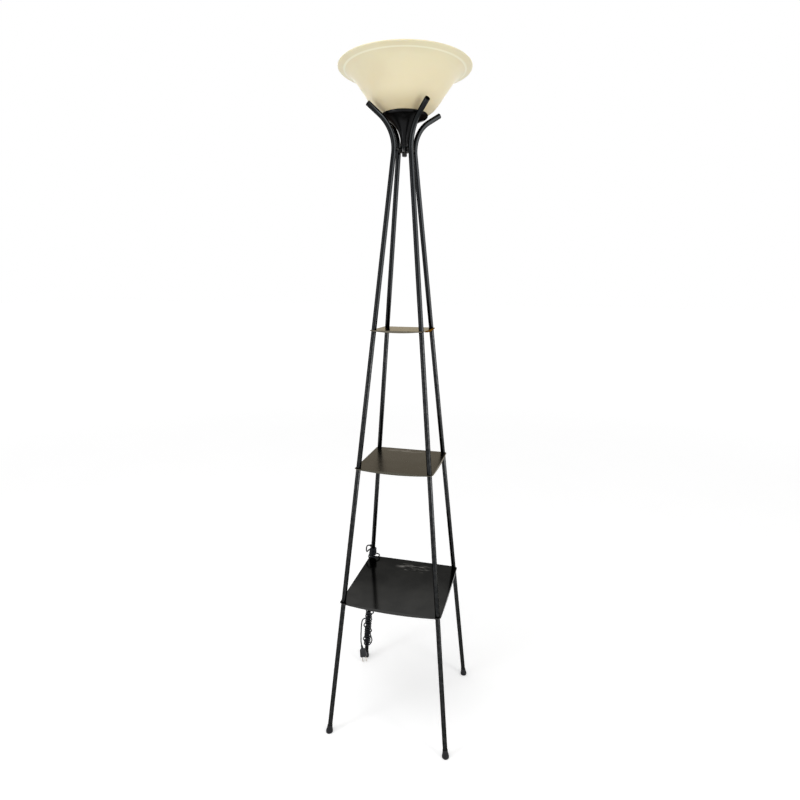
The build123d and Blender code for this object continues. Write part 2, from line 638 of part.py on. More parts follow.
# ---------------------------------------------------------------- bulb
BULB_TIP_Z = CONTACT_TOP + BULB_CONTACT_GAP
BULB_BASE_Z = BULB_TIP_Z + BULB_CONTACT
GLOBE_Z = BULB_BASE_Z + BULB_BASE_LENGTH
base_r = min(BULB_BASE_R, SHELL_BORE_R - BULB_FIT)
save("bulb_contact", turned([
    (0, BULB_TIP_Z), (BULB_TIP_R, BULB_TIP_Z), (BULB_CONTACT_R, BULB_BASE_Z), (0, BULB_BASE_Z),
]))
base_bore_r = base_r - BULB_BASE_WALL
save("bulb_base", turned([
    (0, BULB_BASE_Z), (BULB_CONE_R, BULB_BASE_Z), (base_r, BULB_BASE_Z + BULB_CONE), (base_r, GLOBE_Z),
    (base_bore_r, GLOBE_Z), (base_bore_r, BULB_BASE_Z + BULB_CONE + BULB_BASE_WALL),
    (0, BULB_BASE_Z + BULB_BASE_FLOOR),
]))


def globe_skin(inset):
    """Pear-shaped line of the glass, from its neck to its top."""
    centre_z = GLOBE_Z + BULB_LENGTH - BULB_R
    neck = (base_r - inset, GLOBE_Z + FIT)
    waist = (BULB_WAIST[0] * BULB_R - inset, GLOBE_Z + BULB_WAIST[1] * BULB_LENGTH)
    radius = BULB_R - inset
    side = (radius, centre_z)
    middle = (radius * math.sin(math.pi / 4), centre_z + radius * math.cos(math.pi / 4))
    top = (0, centre_z + radius)
    return [Spline(neck, waist, side, tangents=[(0, 1), (0, 1)]), ThreePointArc(side, middle, top)]


globe_face = make_face([
    *globe_skin(0),
    *globe_skin(BULB_WALL),
    Line((base_r, GLOBE_Z + FIT), (base_r - BULB_WALL, GLOBE_Z + FIT)),
    Line((0, GLOBE_Z + BULB_LENGTH), (0, GLOBE_Z + BULB_LENGTH - BULB_WALL)),
])
save("bulb_globe", revolve(Plane.XZ * globe_face, axis=Axis.Z))

# ---------------------------------------------------------------- cord: tools for its routes


def corner_radii(points):
    """Radius at each corner: 0.45 of the shorter run over the tangent of half the turn."""
    radii = []
    for before, corner, after in zip(points, points[1:], points[2:]):
        run_in = corner - before
        run_out = after - corner
        half_turn = math.radians(run_in.get_angle(run_out)) / 2
        radii.append(0.45 * min(run_in.length, run_out.length) / math.tan(half_turn))
    return radii


def free_cord(points):
    points = [Vector(*point) for point in points]
    radii = corner_radii(points)
    print("  radii", [round(radius, 1) for radius in radii])
    return round_bar(FilletPolyline(*points, radius=radii).wire(), CORD_R)


def arc_through(start, apex, end):
    """Arc from start to end whose end tangents meet at apex, at equal distances."""
    middle = (start + end) / 2
    half = (end - start).length / 2
    to_apex = apex - middle
    turn = math.atan2(to_apex.length, half)
    on_arc = middle + to_apex * (math.tan(turn / 2) / math.tan(turn))
    return Edge.make_three_point_arc(start, on_arc, end)


def biarc(start, start_dir, end, end_dir):
    """Two arcs that leave start along start_dir and reach end along end_dir."""
    across = end - start
    both = start_dir + end_dir
    bend = 2 * (1 - start_dir.dot(end_dir))
    reach = (math.sqrt(across.dot(both) ** 2 + bend * across.dot(across)) - across.dot(both)) / bend
    first = start + start_dir * reach
    second = end - end_dir * reach
    joint = (first + second) / 2
    return [arc_through(start, first, joint), arc_through(joint, second, end)]


WIND_R = TUBE_R + CORD_GAP + CORD_R


def winding(start_azimuth, spans, loops):
    """Cord round the leg, downwards and anticlockwise from above, a straight diameter at each end."""
    quarters = []
    for z_from, z_to, turns in spans:
        count = round(4 * turns)
        first = 1 if quarters else 0
        quarters += [z_from + (z_to - z_from) * step / count for step in range(first, count + 1)]
    points = []
    directions = []
    for index, z in enumerate(quarters):
        azimuth = start_azimuth + 90 * index
        radius = WIND_R + loops.get(index, 0.0)
        points.append(beside_leg(radius, azimuth, z))
        below = quarters[min(index + 1, len(quarters) - 1)]
        above = quarters[max(index - 1, 0)]
        steps = min(index + 1, len(quarters) - 1) - max(index - 1, 0)
        drop = (below - above) / (steps * math.pi / 2)
        turn = math.radians(azimuth)
        directions.append(Vector(-radius * math.sin(turn), radius * math.cos(turn), drop).normalized())
    edges = [Edge.make_line(points[0] - directions[0] * 2 * CORD_R, points[0])]
    for index in range(len(points) - 1):
        edges += biarc(points[index], directions[index], points[index + 1], directions[index + 1])
    edges.append(Edge.make_line(points[-1], points[-1] + directions[-1] * 2 * CORD_R))
    return edges


def least_gap(edges):
    """Least gap of the winding to itself and to the leg's tube, measured on points."""
    points = []
    travelled = 0.0
    for edge in edges:
        points += [(travelled + edge.length * part / 4, edge @ (part / 4)) for part in range(4)]
        travelled += edge.length
    nearest = min(
        (second - first).length
        for at, first in points
        for to, second in points
        if to - at > math.pi * WIND_R
    )
    to_leg = min((point - beside_leg(0, 0, point.Z)).length for _, point in points) * math.cos(LEAN)
    return nearest - 2 * CORD_R, to_leg - CORD_R - TUBE_R


def wound_cord(name, start_azimuth, spans, loops):
    edges = winding(start_azimuth, spans, loops)
    gap, leg_gap = least_gap(edges)
    print(f"{name}: least gap to itself {gap:.2f}, to the tube {leg_gap:.2f}")
    path = Wire(edges)
    save(name, round_bar(path, CORD_R))
    return path


# ---------------------------------------------------------------- cord: grommet and run inside the leg
exit_at = exit_plane()
exit_dir = exit_at.z_dir
grommet_foot = TUBE_R - GROMMET_INSIDE
flange_at = TUBE_R + GROMMET_FLANGE
grommet_outline = Polyline(
    (0, grommet_foot), (GROMMET_R, grommet_foot), (GROMMET_R, flange_at), (GROMMET_FLANGE_R, flange_at),
    (CORD_R + GROMMET_LIP, EXIT_REACH), (0, EXIT_REACH), close=True,
)
grommet_body = exit_at.location * revolve(Plane.XZ * make_face(grommet_outline), axis=Axis.Z)
saddle = extrude(exit_at * Circle(GROMMET_FLANGE_R), amount=flange_at)
saddle = saddle - cord_leg_turn * along_leg(TUBE_R + FIT, EXIT_Z - 4 * TUBE_R, EXIT_Z + 4 * TUBE_R)
grommet_bore = extrude(exit_at * Circle(CORD_R + FIT), amount=2 * EXIT_REACH)
save("cord_grommet", grommet_body + saddle - grommet_bore)

leg_dir = math.radians(LEGS[CORD_LEG])
out_of_hub = Vector(math.cos(leg_dir), math.sin(leg_dir), 0)
jacket_end = out_of_hub * JACKET_END_R + Vector(0, 0, NECK_Z)
entry_corner = beside_leg(0, 0, NECK_Z)
exit_corner = beside_leg(0, 0, EXIT_Z)
cord_out = exit_corner + exit_dir * EXIT_REACH
inner_path = FilletPolyline(
    jacket_end, entry_corner, exit_corner, cord_out, radius=[ENTRY_BEND_R, EXIT_BEND_R]
).wire()
print("cord_inner_run")
save("cord_inner_run", round_bar(inner_path, CORD_R))

# ---------------------------------------------------------------- cord: free stretches and windings
upper_spans = ((*UPPER_Z, UPPER_TURNS),)
upper_path = wound_cord("cord_winding_upper", UPPER_START_AZ, upper_spans, UPPER_LOOPS)
lower_path = wound_cord("cord_winding_lower", LOWER_START_AZ, LOWER_SPANS, LOWER_LOOPS)

print("cord_exit_loop")
exit_loop_points = [
    cord_out,
    cord_out + exit_dir * GROMMET_RUN,
    beside_leg(23.7, 167, 440.5),
    beside_leg(27.1, 172, 435.3),
    beside_leg(28.2, 179, 429.4),
    beside_leg(27.5, 189, 425.0),
    beside_leg(25.7, 201, 425.6),
    beside_leg(23.0, 210, 430.2),
    beside_leg(18.8, 215, 435.2),
    upper_path @ 0 - (upper_path % 0) * UPPER_RUN,
    upper_path @ 0,
]
save("cord_exit_loop", free_cord(exit_loop_points))

print("cord_crossing")
crossing_points = [
    upper_path @ 1,
    upper_path @ 1 + (upper_path % 1) * CROSSING_RUN,
    beside_leg(17.4, 146, 404.9),
    beside_leg(19.6, 148, 399.6),
    beside_leg(18.7, 145, 393.6),
    beside_leg(16.0, 142, 388.2),
    lower_path @ 0 - (lower_path % 0) * CROSSING_RUN,
    lower_path @ 0,
]
save("cord_crossing", free_cord(crossing_points))

# ---------------------------------------------------------------- plug
foot = beside_leg(0, 0, 0)
blade_end = foot + Vector(*PLUG_TIP)
plug_dir = Vector(*PLUG_DIR).normalized()
to_leg = Vector(PLUG_TIP[0], PLUG_TIP[1], 0).normalized()
plug_side = plug_dir.cross(to_leg).normalized()
front = Plane(origin=blade_end - plug_dir * BLADE_LENGTH, x_dir=plug_side, z_dir=-plug_dir)
back = front.offset(PLUG_LENGTH)
plug = loft([
    front * RectangleRounded(PLUG_WIDTH, PLUG_THICK, PLUG_CORNER_R),
    back * RectangleRounded(PLUG_TAPER[0] * PLUG_WIDTH, PLUG_TAPER[1] * PLUG_THICK, PLUG_CORNER_R),
])
relief_ends = (back, back.offset(RELIEF_LENGTH))
relief = loft([end * Circle(CORD_R + wall) for end, wall in zip(relief_ends, RELIEF_WALLS)])
blades = []
for side in (BLADE_SPACING / 2, -BLADE_SPACING / 2):
    blade = front.offset(BLADE_ROOT) * Pos(side, 0) * Rectangle(BLADE_THICK, BLADE_WIDTH)
    blades.append(extrude(blade, amount=-(BLADE_LENGTH + BLADE_ROOT)))
hole_plane = front.offset(-BLADE_HOLE_AT * BLADE_LENGTH)
blade_hole = hole_plane * Rot(0, 90, 0) * Cylinder(BLADE_HOLE_R, 2 * PLUG_WIDTH)
save("plug_body", plug + relief - blades[0] - blades[1])
save("plug_blades", solids_of(*[blade - blade_hole for blade in blades]))
cord_end = back.offset(RELIEF_LENGTH).origin

print("cord_lead")
lead_points = [
    lower_path @ 1,
    lower_path @ 1 + (lower_path % 1) * LEAD_RUN,
    beside_leg(18.6, 65, 54.6),
    beside_leg(19.4, 74, 62.4),
    beside_leg(18.8, 81, 74.0),
    beside_leg(17.8, 87, 89.0),
    beside_leg(17.2, 92, 105.0),
    beside_leg(16.6, 99, 121.0),
    beside_leg(16.4, 112, 134.6),
    beside_leg(17.0, 128, 143.8),
    beside_leg(18.6, 148, 148.8),
    beside_leg(21.0, 168, 147.4),
    beside_leg(22.8, 180, 140.4),
    beside_leg(23.4, 187, 129.0),
    beside_leg(23.4, 192, 114.5),
    beside_leg(22.9, 195, 99.5),
    beside_leg(22.6, 197, 84.5),
    beside_leg(22.1, 201, 71.5),
    cord_end - plug_dir * PLUG_RUN,
    cord_end,
]
save("cord_lead", free_cord(lead_points))
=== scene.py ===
# %% [markdown]
# # A shelf floor lamp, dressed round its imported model
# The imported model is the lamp's construction: every tube, nut and wire at its real size. It is loaded
# first and never moved. What follows gives it the looks: pieces that deserve a better surface are
# modelled again in the same place, and every other piece gets a finish. All sizes are in metres.

# %% Load the frame
from math import asin, atan, cos, hypot, pi, radians, sin, sqrt, tan

import bpy
from mathutils import Matrix, Vector


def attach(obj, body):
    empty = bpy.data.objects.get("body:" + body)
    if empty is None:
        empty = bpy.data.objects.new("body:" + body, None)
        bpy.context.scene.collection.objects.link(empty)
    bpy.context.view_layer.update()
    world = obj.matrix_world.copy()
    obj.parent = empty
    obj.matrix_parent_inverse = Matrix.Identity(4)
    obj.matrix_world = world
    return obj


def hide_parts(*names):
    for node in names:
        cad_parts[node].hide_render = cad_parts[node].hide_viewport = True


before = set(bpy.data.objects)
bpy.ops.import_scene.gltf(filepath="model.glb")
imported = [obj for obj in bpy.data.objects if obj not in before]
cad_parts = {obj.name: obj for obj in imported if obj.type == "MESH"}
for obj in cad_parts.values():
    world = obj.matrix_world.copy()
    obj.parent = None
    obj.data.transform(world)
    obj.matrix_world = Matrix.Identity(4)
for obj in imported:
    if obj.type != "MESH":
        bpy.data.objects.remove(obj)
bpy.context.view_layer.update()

MM = 0.001

# %% [markdown]
# ## The camera
# The camera comes first, because every later choice is judged through it. Its place was found from the
# ends of the four legs: where they stand in the picture fixes the height, the distance and the turn.
# The focal length is kept in pixels of the 800 pixel frame and turned into millimetres of sensor.

# %% Camera
IMAGE_PIXELS = 800
FOCAL_PIXELS = 548.8
SENSOR_WIDTH = 36.0
CAMERA_PLACE = (0.3702, -1.4422, 1.2828)
CAMERA_YAW = radians(14.715)
CAMERA_PITCH = radians(-12.045)
CAMERA_ROLL = radians(0.286)

bpy.ops.object.select_all(action="DESELECT")
bpy.ops.object.camera_add(location=CAMERA_PLACE)
camera = bpy.context.object
camera.name = "photo_camera"
camera.data.sensor_width = SENSOR_WIDTH
camera.data.lens = FOCAL_PIXELS / IMAGE_PIXELS * SENSOR_WIDTH
camera.matrix_world = (
    Matrix.Translation(CAMERA_PLACE)
    @ Matrix.Rotation(CAMERA_YAW, 4, "Z")
    @ Matrix.Rotation(radians(90) + CAMERA_PITCH, 4, "X")
    @ Matrix.Rotation(CAMERA_ROLL, 4, "Z")
)
bpy.context.scene.camera = camera
bpy.context.scene.view_settings.view_transform = "Standard"
print("lens", round(camera.data.lens, 2), "mm")

# %% [markdown]
# ## Where the legs run
# Four legs lean in to a neck under the cup and bend outward above it. Cord, tubes, caps and shelves all
# take their places from this one line, so it is worked out once, from the foot, the neck and the bend.

# %% Leg line
FOOT_R = 243 * MM
NECK_R = 31 * MM
NECK_Z = 1612 * MM
BEND_R = 86 * MM
FLARE = radians(58)
BEND_X = NECK_R + BEND_R
LEAN = atan((FOOT_R - BEND_X) / NECK_Z) + asin(BEND_R / hypot(FOOT_R - BEND_X, NECK_Z))
LEGS = {"fr": radians(-45), "br": radians(45), "bl": radians(135), "fl": radians(225)}
CORD_LEG = "bl"


def leg_radius(z):
    """Lamp axis to leg axis at height z, below the bend."""
    return FOOT_R - z * tan(LEAN)


def beside_leg(radius, azimuth, z):
    """Point at a distance from the cord leg's axis, in millimetres and degrees, as a place in metres."""
    turn = radians(azimuth)
    along = leg_radius(z * MM)
    return Vector((
        along * cos(LEGS[CORD_LEG]) + radius * MM * cos(turn),
        along * sin(LEGS[CORD_LEG]) + radius * MM * sin(turn),
        z * MM,
    ))


print("the legs lean", round(LEAN * 180 / pi, 2), "degrees")

# %% [markdown]
# ## The power cord
# About 1.9 m of thin black cord leaves the back left leg above the bottom shelf, makes a loose loop, winds
# down round the leg, crosses the shelf's corner and winds on to the foot, with some turns standing away.
# A curve with a round bevel is the natural way to make it. One NURBS spline runs through all of it: the
# free stretches are listed points, and a loop works out the turns. A turn that stands away from the
# leg is a larger ring that still touches it on the far side, so no bend gets tighter. A quadratic NURBS
# cuts inside its control points, so those of the turns stand a little further out.

# %% Cord sizes and the turns round the leg
CORD_R = 2.1
WIND_R = 9.4              # leg axis to the middle of the cord, where it lies close
TURN_POINTS = 16
HEIGHT_SMOOTHING = 2      # passes that soften the change from loose turns to close ones
EXIT_AZ = 165.0
EXIT_Z = 444.0
UPPER_START_AZ = 270.0
UPPER_SPANS = ((437.5, 408.7, 5.5),)
UPPER_LOOPS = {9: 0.8, 15: 1.0, 21.2: 13.0}
LOWER_START_AZ = 180.0
LOWER_SPANS = ((376.0, 190.0, 3.0), (190.0, 52.0, 14.5))
LOWER_LOOPS = {14.2: 6.0, 20.2: 1.0, 26.0: 1.5, 36.2: 5.0, 46.2: 3.5, 54.0: 1.0, 60.2: 4.0}


def stand_off(loop, quarters):
    """How far out a standing loop still is, some quarter turns away from its outermost point."""
    if abs(quarters) >= 2:
        return 0.0
    turn = quarters * pi / 2
    shift = loop / 2
    return shift * cos(turn) + sqrt((WIND_R + shift)**2 - (shift * sin(turn))**2) - WIND_R


def winding(start_azimuth, spans, loops):
    """Control points of the turns, downwards, and the cord's direction at both ends."""
    heights = [spans[0][0]]
    for top, bottom, turns in spans:
        quarters = round(4 * turns)
        heights += [top + (bottom - top) * step / quarters for step in range(1, quarters + 1)]
    for _ in range(HEIGHT_SMOOTHING):
        heights[1:-1] = [(a + 2 * b + c) / 4 for a, b, c in zip(heights, heights[1:], heights[2:])]
    places = []
    for point in range((len(heights) - 1) * TURN_POINTS // 4 + 1):
        quarters = 4 * point / TURN_POINTS
        index = min(int(quarters), len(heights) - 2)
        height = heights[index] + (heights[index + 1] - heights[index]) * (quarters - index)
        radius = WIND_R + sum(stand_off(loop, quarters - at) for at, loop in loops.items())
        places.append(beside_leg(radius / cos(pi / TURN_POINTS), start_azimuth + 90 * quarters, height))
    return places, (places[1] - places[0]).normalized(), (places[-1] - places[-2]).normalized()


upper, upper_in, upper_out = winding(UPPER_START_AZ, UPPER_SPANS, UPPER_LOOPS)
lower, lower_in, lower_out = winding(LOWER_START_AZ, LOWER_SPANS, LOWER_LOOPS)
print("points in the turns:", len(upper), "and", len(lower))

# %% [markdown]
# The plug leans beside the foot with its blades on the floor, so the cord's last points come from the
# plug's own place and direction.

# %% Plug place
PLUG_TIP = Vector((6.0, -33.0, 3.0)) * MM
PLUG_WIDTH = 24.0 * MM
PLUG_THICK = 15.0 * MM
PLUG_LENGTH = 28.0 * MM
RELIEF_LENGTH = 12.0 * MM
BLADE_LENGTH = 16.0 * MM

plug_dir = Vector((0.30, -0.28, -0.91)).normalized()
to_leg = Vector((PLUG_TIP.x, PLUG_TIP.y, 0)).normalized()
plug_side = plug_dir.cross(to_leg).normalized()
plug_front = beside_leg(0, 0, 0) + PLUG_TIP - plug_dir * BLADE_LENGTH
cord_end = plug_front - plug_dir * (PLUG_LENGTH + RELIEF_LENGTH)
plug_place = Matrix.Translation(plug_front) @ Matrix(
    (plug_side, (-plug_dir).cross(plug_side), -plug_dir)
).transposed().to_4x4()
print("the cord ends at", tuple(round(x, 4) for x in cord_end))

# %% [markdown]
# Now the whole route, from the grommet to the plug. Each free stretch is a table of distances from the
# leg's axis, azimuths and heights. The straight bits before and after each winding keep the cord in line
# with its turns.

# %% Cord
EXIT_REACH = 12.0
EXIT_RUN = 3.2 * MM
END_RUN = 2 * CORD_R * MM
UPPER_RUN = END_RUN + 6.5 * MM
LOWER_RUN = END_RUN + 5.8 * MM
PLUG_RUN = 10.5 * MM
EXIT_LOOP = (
    (20.6, 168, 442.2), (23.7, 170, 437.1), (23.6, 175, 430.5), (21.6, 187, 426.1), (19.8, 205, 425.3),
    (19.1, 220, 428.8), (16.5, 227, 435.6),
)
CROSSING = ((19.4, 139, 404.6), (19.9, 146, 398.6), (18.7, 145, 393.6), (16.0, 142, 388.2))
LEAD = (
    (16.6, 43, 53.1), (20.5, 51, 60.3), (17.6, 51, 69.7), (16.2, 65, 79.7), (16.5, 78, 91.4),
    (16.6, 88, 104.6), (16.5, 98, 118.0), (16.5, 109, 130.7), (17.2, 120, 142.3), (18.9, 144, 150.8),
    (22.6, 172, 148.7), (23.5, 183, 137.9), (23.4, 188, 125.9), (23.2, 192, 113.2), (22.9, 195, 100.2),
    (22.6, 197, 87.3), (21.9, 200, 75.1),
)

cord_start = beside_leg(EXIT_REACH, EXIT_AZ, EXIT_Z)
exit_dir = Vector((cos(radians(EXIT_AZ)), sin(radians(EXIT_AZ)), 0))
route = [cord_start, cord_start + exit_dir * EXIT_RUN]
route += [beside_leg(*point) for point in EXIT_LOOP]
route += [upper[0] - upper_in * END_RUN, *upper]
route += [upper[-1] + upper_out * END_RUN, upper[-1] + upper_out * UPPER_RUN]
route += [beside_leg(*point) for point in CROSSING]
route += [lower[0] - lower_in * LOWER_RUN, lower[0] - lower_in * END_RUN, *lower]
route += [lower[-1] + lower_out * END_RUN]
route += [beside_leg(*point) for point in LEAD]
route += [cord_end - plug_dir * PLUG_RUN, cord_end]

curve = bpy.data.curves.new("power_cord", "CURVE")
curve.dimensions = "3D"
spline = curve.splines.new("NURBS")
spline.points.add(len(route) - 1)
for point, place in zip(spline.points, route):
    point.co = (*place, 1)
spline.order_u = 3
spline.use_endpoint_u = True
curve.resolution_u = 4
curve.bevel_depth = CORD_R * MM
curve.bevel_resolution = 5
curve.use_fill_caps = True
power_cord = bpy.data.objects.new("power_cord", curve)
bpy.context.scene.collection.objects.link(power_cord)
print("control points:", len(route), "length:", round(spline.calc_length(), 3))

# %% [markdown]
# ## Small tools for modelling
# Two ways of making cover most of this lamp. A turned piece starts as a circle, which is extruded and
# resized from station to station, as on a lathe. A finished piece has its place in its mesh and is
# smooth except at its real edges.

# %% Modelling tools


def set_mode(mode):
    bpy.ops.object.mode_set(mode=mode)


def select_only(*pieces):
    bpy.ops.object.select_all(action="DESELECT")
    for piece in pieces:
        piece.select_set(True)
    bpy.context.view_layer.objects.active = pieces[0]


def named(name):
    """Names the piece that was just added."""
    piece = bpy.context.object
    piece.name = name
    piece.data.name = name
    return piece


def apply_modifier(piece, kind, **settings):
    select_only(piece)
    modifier = piece.modifiers.new(kind.lower(), kind)
    for setting, value in settings.items():
        setattr(modifier, setting, value)
    bpy.ops.object.modifier_apply(modifier=modifier.name)


def round_edges(piece, width, segments, angle):
    """Bevels the edges that are sharper than the angle."""
    settings = {"width": width, "segments": segments, "angle_limit": radians(angle)}
    apply_modifier(piece, "BEVEL", limit_method="ANGLE", **settings)


def turned(name, stations, segments=96):
    """Lathe work round Z: (radius, height) stations. Loops that meet, and poles, are closed."""
    bpy.ops.object.select_all(action="DESELECT")
    radius, height = stations[0]
    bpy.ops.mesh.primitive_circle_add(vertices=segments, radius=radius, location=(0, 0, height))
    piece = named(name)
    bpy.ops.object.transform_apply(location=True)
    set_mode("EDIT")
    bpy.ops.mesh.select_all(action="SELECT")
    for next_radius, next_height in stations[1:]:
        rise = (0, 0, next_height - height)
        bpy.ops.mesh.extrude_region_move(TRANSFORM_OT_translate={"value": rise})
        grow = next_radius / radius
        bpy.ops.transform.resize(value=(grow, grow, 1), center_override=(0, 0, next_height))
        radius, height = next_radius, next_height
    bpy.ops.mesh.select_all(action="SELECT")
    bpy.ops.mesh.remove_doubles(threshold=2.5 * POLE_R)
    bpy.ops.mesh.normals_make_consistent(inside=False)
    set_mode("OBJECT")
    return piece


def finished(piece, sharp=35):
    """Puts the piece's place in its mesh and shades it smooth up to an angle."""
    select_only(piece)
    bpy.ops.object.transform_apply(location=True, rotation=True, scale=True)
    bpy.ops.object.shade_smooth_by_angle(angle=radians(sharp))
    return piece


def copied(piece, name, angle):
    """A copy with its own mesh, turned about the lamp's axis."""
    twin = piece.copy()
    twin.data = piece.data.copy()
    twin.name = name
    twin.data.name = name
    bpy.context.scene.collection.objects.link(twin)
    twin.data.transform(Matrix.Rotation(angle, 4, "Z"))
    return twin


def for_each_leg(piece, stem):
    """Four copies of a piece made for a leg that stands towards +X, by their leg's name."""
    placed = {leg: copied(piece, f"{stem}_{leg}", turn) for leg, turn in LEGS.items()}
    bpy.data.objects.remove(piece)
    return placed


POLE_R = 0.05 * MM        # a turned piece starts or ends on the axis with a circle this small

# %% [markdown]
# ## Leg tubes
# Each leg is four lengths of thin steel tube that meet at the shelves. A straight length is an open
# cylinder, leaned and then bisected level at both ends, which gives the oval mouths that sit flat on the
# shelves. Solidify gives it the real 1 mm wall, and a small bevel breaks the sawn edge so that it
# catches light.

# %% Straight tubes
TUBE_R = 6.5 * MM
TUBE_WALL = 1.0 * MM
SAWN_EDGE = 0.2 * MM
TUBE_SIDES = 48
CAP_FLOOR = 3.0 * MM
SHEET = 1.0 * MM
SHELF_Z = {"bottom": 403 * MM, "middle": 790 * MM, "top": 1161 * MM}


def cut_level(piece, z, keep_above, fill=False):
    """Bisects the piece with a level plane and keeps one side."""
    select_only(piece)
    set_mode("EDIT")
    bpy.ops.mesh.select_all(action="SELECT")
    bpy.ops.mesh.bisect(
        plane_co=(0, 0, z), plane_no=(0, 0, 1), use_fill=fill,
        clear_inner=keep_above, clear_outer=not keep_above,
    )
    set_mode("OBJECT")


def give_wall(tube):
    apply_modifier(tube, "SOLIDIFY", thickness=TUBE_WALL, offset=-1, use_even_offset=True)
    round_edges(tube, SAWN_EDGE, 2, 60)
    return finished(tube)


def straight_tube(name, low, high):
    middle = (low + high) / 2
    bpy.ops.object.select_all(action="DESELECT")
    bpy.ops.mesh.primitive_cylinder_add(
        vertices=TUBE_SIDES, radius=TUBE_R, depth=(high - low) / cos(LEAN) + 4 * TUBE_R,
        end_fill_type="NOTHING", location=(leg_radius(middle), 0, middle), rotation=(0, -LEAN, 0),
    )
    tube = named(name)
    bpy.ops.object.transform_apply(location=True, rotation=True)
    cut_level(tube, low, keep_above=True)
    cut_level(tube, high, keep_above=False)
    return give_wall(tube)


tubes = {}
runs = {
    "lower": (CAP_FLOOR, SHELF_Z["bottom"] - SHEET / 2),
    "middle": (SHELF_Z["bottom"] + SHEET / 2, SHELF_Z["middle"] - SHEET / 2),
    "upper": (SHELF_Z["middle"] + SHEET / 2, SHELF_Z["top"] - SHEET / 2),
}
for run, (low, high) in runs.items():
    for leg, tube in for_each_leg(straight_tube(f"tube_{run}", low, high), f"tube_{run}").items():
        tubes[f"leg_{run}_{leg}"] = tube
print("straight tubes:", len(tubes))

# %% [markdown]
# The top length is bent outward on a former. That is what the spin tool does: the end loop of a straight
# pipe is swept round the bend's centre, and the last straight run is an extrusion.

# %% Bent top tubes
TIP_RUN = 38.4 * MM
BEND_STEPS = 28
UP_LEG = Vector((-sin(LEAN), 0, cos(LEAN)))


def bent_tube(name, low):
    start = low - 2 * TUBE_R
    bend_start = NECK_Z - BEND_R * sin(LEAN)
    run = (bend_start - start) / cos(LEAN)
    bpy.ops.object.select_all(action="DESELECT")
    bpy.ops.mesh.primitive_circle_add(
        vertices=TUBE_SIDES, radius=TUBE_R, location=(leg_radius(start), 0, start),
        rotation=(0, -LEAN, 0),
    )
    tube = named(name)
    bpy.ops.object.transform_apply(location=True, rotation=True)
    set_mode("EDIT")
    bpy.ops.mesh.select_all(action="SELECT")
    bpy.ops.mesh.extrude_region_move(TRANSFORM_OT_translate={"value": UP_LEG * run})
    bpy.ops.mesh.spin(steps=BEND_STEPS, angle=FLARE + LEAN, center=(BEND_X, 0, NECK_Z), axis=(0, -1, 0))
    outward = Vector((sin(FLARE), 0, cos(FLARE))) * TIP_RUN
    bpy.ops.mesh.extrude_region_move(TRANSFORM_OT_translate={"value": outward})
    bpy.ops.mesh.select_all(action="SELECT")
    bpy.ops.mesh.remove_doubles(threshold=0.01 * MM)
    bpy.ops.mesh.normals_make_consistent(inside=False)
    set_mode("OBJECT")
    cut_level(tube, low, keep_above=True)
    return give_wall(tube)


for leg, tube in for_each_leg(bent_tube("tube_top", SHELF_Z["top"] + SHEET / 2), "tube_top").items():
    tubes[f"leg_top_{leg}"] = tube
highest = max(vertex.co.z for vertex in tubes["leg_top_fr"].data.vertices)
print("tubes:", len(tubes), "highest tip", round(highest, 4))

# %% [markdown]
# The cord leaves the middle length of its leg through a drilled hole. A boolean with a short bar cuts it.

# %% Hole for the cord
GROMMET_R = 3.45 * MM
DRILL_LENGTH = 9.75 * MM  # through one side of the tube only


def drilled(piece, *holes):
    """Cuts bars out of the piece: (place, direction, radius, length), the place in the bar's middle."""
    for place, direction, radius, length in holes:
        bpy.ops.object.select_all(action="DESELECT")
        bpy.ops.mesh.primitive_cylinder_add(vertices=32, radius=radius, depth=length)
        drill = named("drill")
        turn = direction.to_track_quat("Z", "Y").to_matrix().to_4x4()
        drill.matrix_world = Matrix.Translation(place) @ turn
        bpy.context.view_layer.update()
        apply_modifier(piece, "BOOLEAN", operation="DIFFERENCE", solver="EXACT", object=drill)
        bpy.data.objects.remove(drill)
    return finished(piece)


drilled(
    tubes[f"leg_middle_{CORD_LEG}"],
    (beside_leg(TUBE_R / MM, EXIT_AZ, EXIT_Z), exit_dir, GROMMET_R, DRILL_LENGTH),
)

# %% [markdown]
# ## Foot caps
# The caps are soft black plastic, snug at the top and flared to the floor. They are turned upright with
# their blind bore, leaned with the leg, and cut level where they stand.

# %% Foot caps
CAP_TOP = 23.0 * MM
CAP_FOOT = 0.02 * MM      # the cut at the floor
CAP_BORE_R = TUBE_R + 0.05 * MM
CAP_OUTSIDE = (
    (7.0, 23.0), (7.2, 22.7), (7.3, 20.0), (7.6, 17.0), (8.1, 14.0), (8.7, 11.0), (9.4, 8.2), (9.9, 6.0),
    (10.1, 4.4), (10.12, 3.0), (10.0, 1.8), (9.6, 0.4), (8.4, -4.0),
)
CAP_EDGE = 0.3 * MM
cap_stations = [(POLE_R, CAP_FLOOR), (CAP_BORE_R, CAP_FLOOR), (CAP_BORE_R, CAP_TOP)]
cap_stations += [(radius * MM, height * MM) for radius, height in CAP_OUTSIDE]
cap_stations += [(POLE_R, CAP_OUTSIDE[-1][1] * MM)]

cap = turned("foot_cap", cap_stations, segments=64)
cap.matrix_world = Matrix.Translation((FOOT_R, 0, 0)) @ Matrix.Rotation(-LEAN, 4, "Y")
finished(cap)
cut_level(cap, CAP_FOOT, keep_above=True, fill=True)
round_edges(cap, CAP_EDGE, 2, 50)
caps = for_each_leg(finished(cap), "foot_boot")
print("foot caps:", len(caps))

